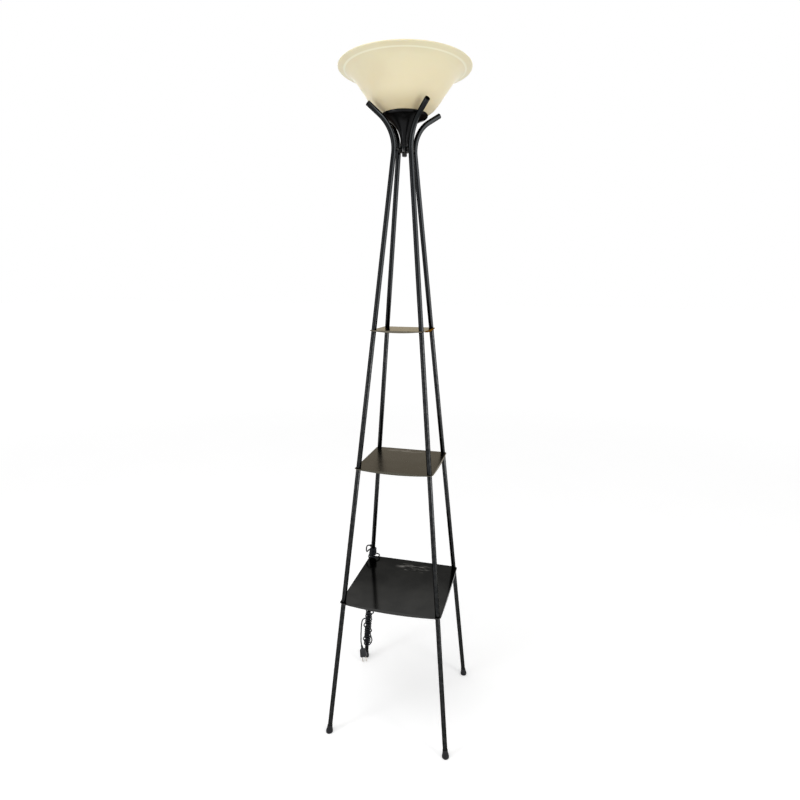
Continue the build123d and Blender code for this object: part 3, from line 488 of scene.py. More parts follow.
# %% [markdown]
# ## Shelves
# Each shelf is one square of 1 mm sheet, clamped by its corners between the tube lengths. Its four edges
# are turned down in a shallow bow, deepest in the middle of a side. A plane gets rounded corners from a
# vertex bevel, its long edges are divided, and their middle stretch is extruded downward and drawn into
# the bow. Solidify gives the sheet its thickness, and a bevel rounds the fold as a press does. Weighted
# normals keep the flat sheet flat in its reflections.

# %% Bent sheet shelves
CORNER_REACH = 14.0 * MM
CORNER_R = 3.0 * MM
APRON_SHARE = 0.027
APRON_END = 0.8 * MM
APRON_STEPS = 32
FOLD_R = 1.3 * MM
STUD_HOLE_R = 4.05 * MM
STUD_DRILL = 10 * SHEET


def select_parts(piece, parts):
    """Selects these vertices, edges or faces, with their vertices, and nothing else."""
    for item in (*piece.data.vertices, *piece.data.edges, *piece.data.polygons):
        item.select = False
    for part in parts:
        part.select = True
        for index in getattr(part, "vertices", ()):
            piece.data.vertices[index].select = True
    select_only(piece)


def sides_of(mesh, side):
    """The edges of a square's outline that run along a side, not across a corner."""
    found = []
    for edge in mesh.edges:
        first, second = (mesh.vertices[index].co for index in edge.vertices)
        reach = max(min(abs(first.x), abs(second.x)), min(abs(first.y), abs(second.y)))
        if reach > side / 2 - 0.1 * MM:
            found.append(edge)
    return found


def apron_drop(along, half, side):
    """How far the turned-down edge hangs at a distance from the middle of the side."""
    depth = APRON_SHARE * side
    bow_r = (half**2 + depth**2) / (2 * depth)
    return APRON_END + depth - bow_r + sqrt(bow_r**2 - along**2)


def bent_shelf(name, z):
    side = sqrt(2) * (leg_radius(z) + CORNER_REACH)
    half = side / 2 - 2 * CORNER_R
    top = z + SHEET / 2
    bpy.ops.object.select_all(action="DESELECT")
    bpy.ops.mesh.primitive_plane_add(size=side, location=(0, 0, top))
    shelf = named(name)
    bpy.ops.object.transform_apply(location=True)
    set_mode("EDIT")
    bpy.ops.mesh.select_all(action="SELECT")
    bpy.ops.mesh.bevel(offset=2 * CORNER_R, segments=1, affect="VERTICES")
    set_mode("OBJECT")

    select_parts(shelf, sides_of(shelf.data, side))
    set_mode("EDIT")
    bpy.ops.mesh.subdivide(number_cuts=APRON_STEPS - 1)
    set_mode("OBJECT")
    select_parts(shelf, sides_of(shelf.data, side))
    set_mode("EDIT")
    bpy.ops.mesh.extrude_edges_move(TRANSFORM_OT_translate={"value": (0, 0, -APRON_END)})
    bpy.ops.mesh.select_all(action="SELECT")
    bpy.ops.mesh.normals_make_consistent(inside=False)
    set_mode("OBJECT")
    for vertex in shelf.data.vertices:
        if vertex.co.z < top - APRON_END / 2:
            along = min(abs(vertex.co.x), abs(vertex.co.y))
            vertex.co.z = top - SHEET - apron_drop(min(along, half), half, side)
    apply_modifier(shelf, "SOLIDIFY", thickness=SHEET, offset=-1, use_even_offset=True)
    round_edges(shelf, FOLD_R, 4, 60)
    return shelf


shelves = {}
for name, z in SHELF_Z.items():
    shelf = bent_shelf(f"sheet_{name}", z)
    on_leg = Vector((leg_radius(z), 0, z))
    spins = [Matrix.Rotation(turn, 3, "Z") for turn in LEGS.values()]
    holes = [(spin @ on_leg, spin @ UP_LEG, STUD_HOLE_R, STUD_DRILL) for spin in spins]
    shelves[name] = drilled(shelf, *holes)
    apply_modifier(shelf, "WEIGHTED_NORMAL", weight=100, keep_sharp=True)
    print("shelf", name, "faces", len(shelves[name].data.polygons))

# %% [markdown]
# ## Cup
# The cup is a spun steel trumpet with a 1 mm wall: a straight stem, a long concave flare, a short lip bend
# and a rim. Both skins are arcs about the same centres, so one function gives the line of either, and the
# stations run up the outside, round the rim and down the inside.

# %% Trumpet cup
HUB_TOP = 1619.25 * MM
STEM_R = 10.3 * MM
CUP_WALL = 1.0 * MM
CUP_R = 58.0 * MM
LIP_R = 5.0 * MM
FLARE_RISE = 62.5 * MM
FLARE_Z = HUB_TOP + 8.5 * MM
LIP_Z = FLARE_Z + FLARE_RISE
CUP_TOP = LIP_Z + 1.5 * MM
FLARE_TURN = 2 * atan((CUP_R - STEM_R) / FLARE_RISE)
FLARE_R = FLARE_RISE / sin(FLARE_TURN) - LIP_R
FLARE_STEPS = 24
LIP_STEPS = 8


def cup_skin(inset):
    """Stations from the stem's foot to the rim."""
    line = [(STEM_R - inset, HUB_TOP)]
    for step in range(FLARE_STEPS + 1):
        turn = FLARE_TURN * step / FLARE_STEPS
        radius = FLARE_R + inset
        line.append((STEM_R + FLARE_R - radius * cos(turn), FLARE_Z + radius * sin(turn)))
    for step in range(1, LIP_STEPS + 1):
        turn = FLARE_TURN * (1 - step / LIP_STEPS)
        radius = LIP_R - inset
        line.append((CUP_R - LIP_R + radius * cos(turn), LIP_Z - radius * sin(turn)))
    return line


rim_round = [
    (CUP_R - CUP_WALL / 2 * (1 - cos(turn)), CUP_TOP - CUP_WALL / 2 * (1 - sin(turn)))
    for turn in (0, pi / 4, pi / 2, 3 * pi / 4, pi)
]
cup_stations = cup_skin(0) + rim_round + cup_skin(CUP_WALL)[::-1] + [(STEM_R, HUB_TOP)]
cup = finished(turned("trumpet_cup", cup_stations, segments=128), sharp=50)
print("cup rim", round(CUP_TOP, 4), "stations", len(cup_stations))

# %% [markdown]
# ## Glass bowl
# The bowl is pressed glass: a flat floor clamped inside the cup, a body that opens like a bell, and a
# nearly flat brim. The outer line is a smooth curve through a few measured places, the inner wall is the
# same line one wall further in, and the brim ends in a full round.

# %% Glass bowl
GLASS_WALL = 3.3 * MM
GLASS_HOLE_R = 20.6 * MM
SEAT_Z = CUP_TOP + 0.3 * MM
GLASS_FLOOR_Z = SEAT_Z - 7.2 * MM
GLASS_PLACES = (
    (41.0, -7.2), (49.5, -6.2), (57.0, 0.0), (65.0, 6.2), (76.4, 15.1), (90.5, 32.2), (103.9, 51.7),
    (124.0, 79.5), (130.0, 86.5), (137.9, 93.6), (147.9, 99.3), (163.8, 104.6),
)
CURVE_STEPS = 5


def smooth_line(places, steps):
    """A curve through all places, whose direction at each one is that between its neighbours."""
    ends = [2 * places[0] - places[1], *places, 2 * places[-1] - places[-2]]
    line = []
    for before, start, stop, after in zip(ends, ends[1:], ends[2:], ends[3:]):
        span = (stop - start).length
        leave = (stop - before) / (stop - before).length * span
        reach = (after - start) / (after - start).length * span
        for step in range(steps):
            t = step / steps
            line.append(
                start * (2 * t**3 - 3 * t**2 + 1) + leave * (t**3 - 2 * t**2 + t)
                + stop * (3 * t**2 - 2 * t**3) + reach * (t**3 - t**2)
            )
    return line + [places[-1]]


outer_line = smooth_line([Vector((r * MM, SEAT_Z + h * MM)) for r, h in GLASS_PLACES], CURVE_STEPS)
inner_line = []
for before, after in zip(outer_line[:1] + outer_line[:-1], outer_line[1:] + outer_line[-1:]):
    along = (after - before).normalized()
    inner_line.append(Vector((-along.y, along.x)) * GLASS_WALL)
inner_line = [place + offset for place, offset in zip(outer_line, inner_line)]
brim_middle = (outer_line[-1] + inner_line[-1]) / 2
brim_out = (outer_line[-1] - outer_line[-2]).normalized()
brim_up = (inner_line[-1] - outer_line[-1]).normalized()
brim_round = [
    brim_middle + (brim_out * cos(turn) + brim_up * sin(turn)) * GLASS_WALL / 2
    for turn in (radians(angle) for angle in (-60, -30, 0, 30, 60))
]
glass_line = [Vector((GLASS_HOLE_R, GLASS_FLOOR_Z)), *outer_line, *brim_round, *inner_line[::-1]]
glass_line += [Vector((GLASS_HOLE_R, GLASS_FLOOR_Z + GLASS_WALL)), Vector((GLASS_HOLE_R, GLASS_FLOOR_Z))]
glass_bowl = finished(turned("glass_bowl", [tuple(spot) for spot in glass_line], segments=144), sharp=50)
print("bowl stations", len(glass_line), "top", round(max(place.y for place in glass_line), 4))

# %% [markdown]
# ## Plug
# A moulded plug starts as a cube of its size. The cord's end is drawn in, the long edges are rounded, and
# the two broad sides are bisected into bands, of which every other one is inset and pushed in: those are
# the grip grooves. The strain relief is turned, with rings that let it flex.

# %% Plug body
GRIP_BANDS = (7.0, 9.0, 11.0, 13.0, 15.0, 17.0, 19.0, 21.0)
GRIP_EDGE = 0.35 * MM
GROOVE = 0.6 * MM
PLUG_CORNER_R = 4.0 * MM
PLUG_EDGE = 0.5 * MM
PLUG_TAPER = (0.75, 0.8, 1)

bpy.ops.object.select_all(action="DESELECT")
bpy.ops.mesh.primitive_cube_add(
    size=1, location=(0, 0, PLUG_LENGTH / 2), scale=(PLUG_WIDTH, PLUG_THICK, PLUG_LENGTH)
)
plug = named("mains_plug")
bpy.ops.object.transform_apply(location=True, scale=True)
select_parts(plug, [vertex for vertex in plug.data.vertices if vertex.co.z > PLUG_LENGTH / 2])
set_mode("EDIT")
bpy.ops.transform.resize(value=PLUG_TAPER, center_override=(0, 0, PLUG_LENGTH))
set_mode("OBJECT")
heights = {edge: [plug.data.vertices[index].co.z for index in edge.vertices] for edge in plug.data.edges}
select_parts(plug, [edge for edge, (start, stop) in heights.items() if abs(start - stop) > MM])
set_mode("EDIT")
bpy.ops.mesh.bevel(offset=PLUG_CORNER_R, segments=5)
for height in GRIP_BANDS:
    bpy.ops.mesh.select_all(action="SELECT")
    bpy.ops.mesh.bisect(plane_co=(0, 0, height * MM), plane_no=(0, 0, 1))
bpy.ops.mesh.select_all(action="DESELECT")
set_mode("OBJECT")
broad_faces = [face for face in plug.data.polygons if abs(face.normal.y) > 0.99]
select_parts(plug, [
    face for face in broad_faces for low, high in zip(GRIP_BANDS[::2], GRIP_BANDS[1::2])
    if low * MM < face.center.z < high * MM
])
set_mode("EDIT")
bpy.ops.mesh.select_mode(type="FACE")
bpy.ops.mesh.inset(thickness=GRIP_EDGE, depth=-GROOVE, use_individual=True)
bpy.ops.mesh.select_mode(type="VERT")
set_mode("OBJECT")
round_edges(plug, PLUG_EDGE, 3, 50)
plug.data.transform(plug_place)
finished(plug)
print("plug faces", len(plug.data.polygons))

# %% Strain relief
RELIEF_RINGS = 4
RELIEF_R = 4.5
RELIEF_TAPER = 0.38       # each ring is that much smaller than the last
RING_START = 0.6
RING_PITCH = 2.8
RING_LINE = ((0, 0), (0.1, 1.6), (0.9, 1.9), (0.95, 2.5))
NECK_START = 11.6 * MM
NECK_LOW_R = 2.9 * MM
NECK_TOP_R = 2.7 * MM
relief_stations = [(POLE_R, 0), (RELIEF_R * MM, 0)]
for index in range(RELIEF_RINGS):
    low = (RING_START + index * RING_PITCH) * MM
    radius = (RELIEF_R - RELIEF_TAPER * index) * MM
    relief_stations += [(radius - inset * MM, low + rise * MM) for inset, rise in RING_LINE]
relief_stations += [(NECK_LOW_R, NECK_START), (NECK_TOP_R, RELIEF_LENGTH), (POLE_R, RELIEF_LENGTH)]
relief = turned("cord_relief", relief_stations, segments=40)
relief.data.transform(plug_place @ Matrix.Translation((0, 0, PLUG_LENGTH)))
finished(relief)
print("relief stations", len(relief_stations))

# %% [markdown]
# ## Tools for finishes
# A material here is a few nodes, so a short helper adds a node and sets or links its inputs in one line,
# and others give the usual noise, maths and ramps. Effects that several finishes share are node groups
# with named inputs. They put out masks and normals, and the shader stays in each material.

# %% Node helpers


def add(tree, kind, inputs=None, **settings):
    """Adds a node, sets its settings, and sets or links its inputs."""
    made = tree.nodes.new(kind)
    for setting, value in settings.items():
        setattr(made, setting, value)
    for label, value in (inputs or {}).items():
        if isinstance(value, bpy.types.NodeSocket):
            tree.links.new(value, made.inputs[label])
        else:
            made.inputs[label].default_value = value
    return made


def place_in(tree):
    return add(tree, "ShaderNodeTexCoord").outputs["Object"]


def stretched(tree, scale, turn=0.0):
    """The piece's own place, scaled and turned about Z, which draws noise out into streaks."""
    inputs = {"Vector": place_in(tree), "Rotation": (0, 0, turn), "Scale": scale}
    return add(tree, "ShaderNodeMapping", inputs).outputs["Vector"]


def up_share(tree):
    """How far the surface faces up: 1 on top of a level face, 0 on a wall, -1 below."""
    normal = add(tree, "ShaderNodeNewGeometry").outputs["Normal"]
    return add(tree, "ShaderNodeSeparateXYZ", {"Vector": normal}).outputs["Z"]


def maths(tree, operation, *values):
    return add(tree, "ShaderNodeMath", dict(enumerate(values)), operation=operation).outputs[0]


def distance(tree, vector):
    return add(tree, "ShaderNodeVectorMath", {0: vector}, operation="LENGTH").outputs["Value"]


def times(tree, first, second):
    return maths(tree, "MULTIPLY", first, second)


def noise(tree, scale, place=None, detail=2.0, roughness=0.5, distortion=0.0):
    """Noise from 0 to 1, by default in the piece's own place."""
    inputs = {"Vector": place or place_in(tree), "Scale": scale, "Detail": detail}
    inputs.update({"Roughness": roughness, "Distortion": distortion})
    return add(tree, "ShaderNodeTexNoise", inputs).outputs["Fac"]


def ramp(tree, value, low, high):
    """0 below low, 1 above high, and smooth between."""
    inputs = {"Value": value, "From Min": low, "From Max": high}
    return add(tree, "ShaderNodeMapRange", inputs, interpolation_type="SMOOTHSTEP").outputs["Result"]


def spread(tree, value, low, high):
    """A value from 0 to 1 spread evenly between two others."""
    inputs = {"Value": value, "To Min": low, "To Max": high}
    return add(tree, "ShaderNodeMapRange", inputs).outputs["Result"]


def mixed(tree, mask, first, second):
    """Colour that goes from first to second with the mask."""
    return add(tree, "ShaderNodeMix", {0: mask, 6: first, 7: second}, data_type="RGBA").outputs[2]


def new_group(name, inputs, outputs):
    """A node group with named float inputs, and the sockets that its nodes read and feed."""
    group = bpy.data.node_groups.new(name, "ShaderNodeTree")
    for label, value in inputs.items():
        socket = group.interface.new_socket(label, in_out="INPUT", socket_type="NodeSocketFloat")
        socket.default_value = value
    for label, kind in outputs.items():
        group.interface.new_socket(label, in_out="OUTPUT", socket_type=kind)
    return group, group.nodes.new("NodeGroupInput").outputs, group.nodes.new("NodeGroupOutput").inputs


def use(tree, group, inputs):
    """Adds a group with its inputs, and gives its output."""
    made = add(tree, "ShaderNodeGroup", node_tree=group)
    for label, value in inputs.items():
        made.inputs[label].default_value = value
    return made.outputs[0]


def feed(tree, shader, inputs):
    for label, value in inputs.items():
        tree.links.new(value, shader.inputs[label])


# %% [markdown]
# ### Shared effects
# Paint skin is the fine unevenness of sprayed paint. Rubs are thin, long marks of handling along a piece.
# Edge wear finds convex edges by pointiness, and settled dust lies on what faces up.

# %% Effect groups
skin_group, given, out = new_group(
    "paint_skin", {"Grain": 900.0, "Height": 0.00002, "Sway": 0.0}, {"Normal": "NodeSocketVector"}
)
place = place_in(skin_group)
fine = noise(skin_group, given["Grain"], place)
broad = noise(skin_group, 22.0, place, detail=1.0)
swell = add(skin_group, "ShaderNodeBump", {"Height": broad, "Distance": given["Sway"]}).outputs["Normal"]
skin = add(skin_group, "ShaderNodeBump", {"Height": fine, "Distance": given["Height"], "Normal": swell})
skin_group.links.new(skin.outputs["Normal"], out["Normal"])

rub_group, given, out = new_group(
    "handling_rubs", {"Scale": 60.0, "Low": 0.62, "High": 0.74}, {"Mask": "NodeSocketFloat"}
)
along = stretched(rub_group, (1.0, 1.0, 0.12))
marks = noise(rub_group, given["Scale"], along, detail=6.0, roughness=0.7)
rub_group.links.new(ramp(rub_group, marks, given["Low"], given["High"]), out["Mask"])

wear_group, given, out = new_group(
    "edge_wear", {"Start": 0.53, "Full": 0.6, "Patch": 120.0}, {"Mask": "NodeSocketFloat"}
)
convex = add(wear_group, "ShaderNodeNewGeometry").outputs["Pointiness"]
patches = noise(wear_group, given["Patch"])
edge = ramp(wear_group, convex, given["Start"], given["Full"])
wear_group.links.new(times(wear_group, edge, ramp(wear_group, patches, 0.42, 0.6)), out["Mask"])

dust_group, given, out = new_group(
    "settled_dust", {"Amount": 0.3, "Patch": 14.0}, {"Mask": "NodeSocketFloat"}
)
upward = ramp(dust_group, up_share(dust_group), 0.5, 1.0)
cloud = ramp(dust_group, noise(dust_group, given["Patch"], detail=5.0, roughness=0.6), 0.3, 0.75)
lying = times(dust_group, upward, cloud)
dust_group.links.new(times(dust_group, lying, given["Amount"]), out["Mask"])
print("effect groups:", [group.name for group in bpy.data.node_groups])

# %% [markdown]
# ### Black paint
# The frame is steel under a satin black paint. In bright rooms such paint stays near black face on, and
# only turns light at a glancing view, where it takes on the room's warm tone. A metallic Principled with a
# very dark base and a warm edge tint does both. Rubs and worn edges are greyer and duller, and dust lies
# on what faces up.

# %% Black paint
RUBBED = (0.055, 0.056, 0.056, 1)
BARE = (0.16, 0.155, 0.15, 1)
DUST = (0.30, 0.29, 0.26, 1)


def new_material(name, principled):
    """A material with its Principled shader, whose plain values are set on its own sockets."""
    material = bpy.data.materials.new(name)
    material.use_nodes = True
    tree = material.node_tree
    shader = tree.nodes["Principled BSDF"]
    for label, value in principled.items():
        shader.inputs[label].default_value = value
    return material, tree, shader


def painted(name, base, tint, roughness, dust=0.03, rubs=0.15, wear=0.5, sway=0.0):
    """Black paint: the base colour face on, and the tint at a glancing view."""
    material, tree, shader = new_material(name, {"Specular Tint": (*tint, 1)})
    marks = use(tree, rub_group, {"Scale": 60.0, "Low": 0.63, "High": 0.76})
    edges = use(tree, wear_group, {})
    film = use(tree, dust_group, {"Amount": dust})
    colour = mixed(tree, times(tree, marks, rubs), base, RUBBED)
    colour = mixed(tree, times(tree, edges, wear), colour, BARE)
    colour = mixed(tree, film, colour, DUST)
    normal = use(tree, skin_group, {"Grain": 700.0, "Height": 0.000006, "Sway": sway})
    dull = maths(tree, "MULTIPLY_ADD", film, 0.5, roughness)
    dull = maths(tree, "MULTIPLY_ADD", marks, 0.10, dull)
    metal = maths(tree, "SUBTRACT", 1.0, film)
    feed(tree, shader, {"Base Color": colour, "Roughness": dull, "Metallic": metal, "Normal": normal})
    return material, tree, shader


tube_paint = painted("tube_paint", (0.0155, 0.0165, 0.0172, 1), (0.40, 0.39, 0.37), 0.20)[0]
cup_paint = painted("cup_paint", (0.014, 0.014, 0.0145, 1), (0.42, 0.41, 0.40), 0.30)[0]
print("paints made")

# %% [markdown]
# ### Shelf paint
# The shelves carry the same paint, unworn, with a thin film of dust and, near the back of each, a patch
# of pale streaks. The patch is a soft-edged box in the shelf's own place, times noise that is stretched
# along the streaks. Each shelf has its own glancing tint, a painted reflection of the warm tone seen at
# its angle, and the folds are painted paler than the flat of the sheet, a painted highlight that is
# strongest on the top shelf.

# %% Shelf paint with pale streaks
# Tone of the pale streaks near the back of each shelf.
PALE_STREAK_TONE = (0.15, 0.145, 0.135, 1)
SHELF_BLACK = (0.0145, 0.0145, 0.0145, 1)

# A soft-edged patch of pale streaks near the back of a shelf.
streak_patch_group, given, out = new_group(
    "pale_streak_patch",
    {"X": 0.0, "Y": 0.1, "Half width": 0.05, "Half depth": 0.02, "Low": 0.55, "High": 0.62},
    {"Mask": "NodeSocketFloat"},
)
spot = add(streak_patch_group, "ShaderNodeSeparateXYZ", {"Vector": place_in(streak_patch_group)})
inside = []
for axis, reach in (("X", "Half width"), ("Y", "Half depth")):
    away = maths(streak_patch_group, "SUBTRACT", spot.outputs[axis], given[axis])
    away = maths(streak_patch_group, "DIVIDE", maths(streak_patch_group, "ABSOLUTE", away), given[reach])
    inside.append(ramp(streak_patch_group, away, 1.0, 0.5))
slid = stretched(streak_patch_group, (0.16, 1.6, 1.0), turn=radians(-14))
streaks = noise(streak_patch_group, 160.0, slid, detail=3.0, distortion=0.6)
streak = ramp(streak_patch_group, streaks, given["Low"], given["High"])
patch = times(streak_patch_group, times(streak_patch_group, *inside), streak)
streak_patch_group.links.new(patch, out["Mask"])

STREAK_PATCHES = {
    "bottom": {"X": 0.008, "Y": 0.098, "Half width": 0.062, "Half depth": 0.026},
    "middle": {
        "X": -0.012, "Y": 0.084, "Half width": 0.062, "Half depth": 0.010, "Low": 0.45, "High": 0.55,
    },
    "top": {"X": 0.010, "Y": 0.035, "Half width": 0.035, "Half depth": 0.012},
}
SHELF_ROUGHNESS = {"bottom": 0.13, "middle": 0.26, "top": 0.16}
# Painted reflection: each shelf's glancing tint is set on its own, to the warm tone that its angle shows.
SHELF_REFLECTION_TINTS = {"bottom": (0.52, 0.52, 0.51), "middle": (0.72, 0.675, 0.60), "top": (0.36, 0.24, 0.02)}
# Painted highlight: the turned-down edges are paler, most on the top shelf.
FOLD_HIGHLIGHT_TONES = {
    "bottom": (0.045, 0.045, 0.044, 1), "middle": (0.085, 0.080, 0.062, 1),
    "top": (0.15, 0.135, 0.105, 1),
}
shelf_paints = {}
for name, streak_patch in STREAK_PATCHES.items():
    material, tree, shader = painted(
        f"shelf_paint_{name}", SHELF_BLACK, SHELF_REFLECTION_TINTS[name], SHELF_ROUGHNESS[name],
        dust=0.02, rubs=0.0, wear=0.0, sway=0.00003,
    )
    painted_colour = shader.inputs["Base Color"].links[0].from_socket
    # The steep faces, the turned-down edges, take the painted highlight tone.
    steep = ramp(tree, maths(tree, "ABSOLUTE", up_share(tree)), 0.9, 0.4)
    colour = mixed(tree, steep, painted_colour, FOLD_HIGHLIGHT_TONES[name])
    colour = mixed(tree, use(tree, streak_patch_group, streak_patch), colour, PALE_STREAK_TONE)
    tree.links.new(colour, shader.inputs["Base Color"])
    shelf_paints[name] = material
print("shelf paints:", list(shelf_paints))

# %% [markdown]
# ### Cream glass
# The bowl is cream glass, frosted all through: light enters and spreads a few millimetres, so a little
# subsurface scattering softens it. It is painted darker low down, a painted shade near the cup, and a
# little darker over the brim, a painted shade there too. It has faint clouds in the glass, and a pale
# line, a painted highlight, runs round where the brim starts.

# %% Cream glass
CREAM = (0.885, 0.79, 0.565, 1)
# Painted shade: the bowl darkens low down, near the cup.
CREAM_SHADE_LOW = (0.56, 0.485, 0.30, 1)
# Painted shade: a little darker over the brim.
CREAM_SHADE_BRIM = (0.86, 0.785, 0.57, 1)
CREAM_CLOUD = (0.82, 0.715, 0.50, 1)
# Painted highlight: a pale line round where the brim starts.
CREAM_RING_HIGHLIGHT = (0.95, 0.90, 0.71, 1)
BRIM_START = 149 * MM
RING_HIGHLIGHT_FADE = (3.0 * MM, 1.2 * MM)
LOW_SHADE_FADE = (1.680, 1.735)
BRIM_SHADE_FADE = (1.745, 1.790)

cream_glass, tree, shader = new_material(
    "cream_glass",
    {
        "Subsurface Weight": 0.30, "Subsurface Radius": (1.0, 0.8, 0.5), "Subsurface Scale": 0.008,
        "IOR": 1.5, "Specular IOR Level": 0.2,
    },
)
height = add(tree, "ShaderNodeSeparateXYZ", {"Vector": place_in(tree)}).outputs["Z"]
level = add(tree, "ShaderNodeVectorMath", {0: place_in(tree), 1: (1, 1, 0)}, operation="MULTIPLY")
reach = distance(tree, level.outputs["Vector"])
# Painted shade low down, near the cup.
tone = mixed(tree, ramp(tree, height, *LOW_SHADE_FADE), CREAM_SHADE_LOW, CREAM)
# Painted shade over the brim.
tone = mixed(tree, ramp(tree, height, *BRIM_SHADE_FADE), tone, CREAM_SHADE_BRIM)
clouds = times(tree, ramp(tree, noise(tree, 11.0, detail=3.0), 0.45, 0.7), 0.4)
tone = mixed(tree, clouds, tone, CREAM_CLOUD)
# Painted highlight: the pale ring where the brim starts.
off_ring = maths(tree, "ABSOLUTE", maths(tree, "SUBTRACT", reach, BRIM_START))
tone = mixed(tree, ramp(tree, off_ring, *RING_HIGHLIGHT_FADE), tone, CREAM_RING_HIGHLIGHT)
frost = spread(tree, noise(tree, 30.0), 0.30, 0.42)
normal = use(tree, skin_group, {"Grain": 260.0, "Height": 0.000015, "Sway": 0.0004})
feed(tree, shader, {"Base Color": tone, "Roughness": frost, "Normal": normal})
print("glass made")

# %% [markdown]
# ### Plastics, rubber, cord and bright metals
# The other pieces share two simple families. Moulded ones are dark or pale plastics with a fine grain and
# some dust. Bright ones are turned or plated metals, with fine lines that vary their roughness.

# %% Moulded and bright finishes


def moulded(name, colour, roughness, grain=1500.0, height=0.00001, dust=0.12, specular=0.35):
    material, tree, shader = new_material(name, {"Specular IOR Level": specular})
    film = use(tree, dust_group, {"Amount": dust, "Patch": 40.0})
    blotch = noise(tree, 90.0, detail=3.0)
    paler = tuple(min(1.0, c * 1.35 + 0.003) for c in colour[:3]) + (1,)
    tone = mixed(tree, film, mixed(tree, ramp(tree, blotch, 0.35, 0.75), colour, paler), DUST)
    dull = spread(tree, blotch, roughness - 0.06, roughness + 0.08)
    normal = use(tree, skin_group, {"Grain": grain, "Height": height})
    feed(tree, shader, {"Base Color": tone, "Roughness": dull, "Normal": normal})
    return material


def bright(name, colour, roughness, lines=900.0):
    material, tree, shader = new_material(name, {"Metallic": 1.0})
    turned_lines = noise(tree, lines, stretched(tree, (0.05, 0.05, 1.0)), detail=4.0)
    tarnish = noise(tree, 120.0, detail=4.0)
    darker = tuple(c * 0.62 for c in colour[:3]) + (1,)
    tone = mixed(tree, ramp(tree, tarnish, 0.45, 0.75), colour, darker)
    dull = spread(tree, turned_lines, roughness - 0.08, roughness + 0.14)
    bump = add(tree, "ShaderNodeBump", {"Height": turned_lines, "Distance": 0.00001}).outputs["Normal"]
    feed(tree, shader, {"Base Color": tone, "Roughness": dull, "Normal": bump})
    return material


cord_skin = moulded("cord_skin", (0.006, 0.007, 0.010, 1), 0.45, grain=2500.0, dust=0.02, specular=0.16)
plug_skin = moulded("plug_skin", (0.011, 0.012, 0.015, 1), 0.48, grain=3000.0)
boot_rubber = moulded("boot_rubber", (0.008, 0.008, 0.010, 1), 0.50, dust=0.03, specular=0.2)
black_moulding = moulded("black_moulding", (0.016, 0.015, 0.014, 1), 0.42)
grommet_rubber = moulded("grommet_rubber", (0.012, 0.012, 0.012, 1), 0.62)
gasket_rubber = moulded("gasket_rubber", (0.50, 0.48, 0.44, 1), 0.65, dust=0.05)
wire_jacket = moulded("wire_jacket", (0.020, 0.020, 0.022, 1), 0.45)
socket_moulding = moulded("socket_moulding", (0.020, 0.018, 0.016, 1), 0.38)
zinc = bright("zinc", (0.62, 0.62, 0.63, 1), 0.32)
brass = bright("brass", (0.72, 0.53, 0.25, 1), 0.28)
nickel = bright("nickel", (0.66, 0.62, 0.56, 1), 0.25)
tin = bright("tin", (0.60, 0.60, 0.58, 1), 0.35)

bulb_glass, tree, shader = new_material(
    "bulb_glass", {"Subsurface Weight": 0.4, "Subsurface Radius": (1, 1, 1), "Subsurface Scale": 0.004}
)
powder = noise(tree, 60.0, detail=4.0)
tone = mixed(tree, ramp(tree, powder, 0.4, 0.7), (0.84, 0.84, 0.82, 1), (0.78, 0.78, 0.76, 1))
normal = use(tree, skin_group, {"Grain": 1200.0, "Height": 0.000004})
feed(tree, shader, {"Base Color": tone, "Roughness": spread(tree, powder, 0.22, 0.34), "Normal": normal})
print("materials:", len(bpy.data.materials))

# %% [markdown]
# ## Put the pieces on the lamp
# Every new piece stands for its imported piece, rides on the same body and is given a finish. The packed
# pieces that stay are only given their finish.

# %% Dress the new pieces


def dress(piece, material, slot, *nodes, body="root"):
    """Gives a new piece its finish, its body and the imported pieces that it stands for."""
    piece.data.materials.clear()
    piece.data.materials.append(material)
    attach(piece, body)
    if nodes:
        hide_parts(*nodes)


for node, tube in tubes.items():
    dress(tube, tube_paint, "tube", node)
for leg, cap in caps.items():
    dress(cap, boot_rubber, "cap", f"foot_cap_{leg}")
for name, shelf in shelves.items():
    dress(shelf, shelf_paints[name], f"sheet_{name}", f"shelf_{name}")
dress(cup, cup_paint, "cup", "cup")
dress(glass_bowl, cream_glass, "glass", "shade")
dress(plug, plug_skin, "cord", "plug_body")
dress(relief, plug_skin, "cord")
dress(
    power_cord, cord_skin, "cord",
    "cord_exit_loop", "cord_winding_upper", "cord_crossing", "cord_winding_lower", "cord_lead",
)

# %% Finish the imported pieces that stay
FINISHES = {
    "hub": tube_paint, "stem_screws": cup_paint, "switch_body": black_moulding, "switch_nut": nickel,
    "switch_shaft": brass, "switch_knob": black_moulding, "bridge_plate": zinc, "nipple": zinc,
    "nipple_nuts": zinc, "shade_gasket": gasket_rubber, "shade_ring": socket_moulding,
    "socket_base": socket_moulding, "socket_body": socket_moulding, "screw_shell": brass,
    "socket_contact": brass, "bulb_contact": tin, "bulb_base": nickel, "bulb_globe": bulb_glass,
    "lamp_wires": wire_jacket, "cord_grommet": grommet_rubber, "cord_inner_run": cord_skin,
    "plug_blades": nickel,
}
for name in SHELF_Z:
    FINISHES[f"studs_{name}"] = zinc
    FINISHES[f"tube_inserts_{name}"] = zinc
for node, material in FINISHES.items():
    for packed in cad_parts[node].material_slots:
        packed.material = material
print("packed pieces finished:", len(FINISHES))

# %% [markdown]
# ## Studio
# A pale floor, a pale room and soft lamps. What the camera, gloss and glass see of the room is plain
# white, while the light that it gives stays lower, so that colours render about as they are written.
# Large panels are only mirrored: those at the right give the tubes their light side and are linked to
# nothing else, and one high behind the lamp gives the bottom shelf its lighter front.

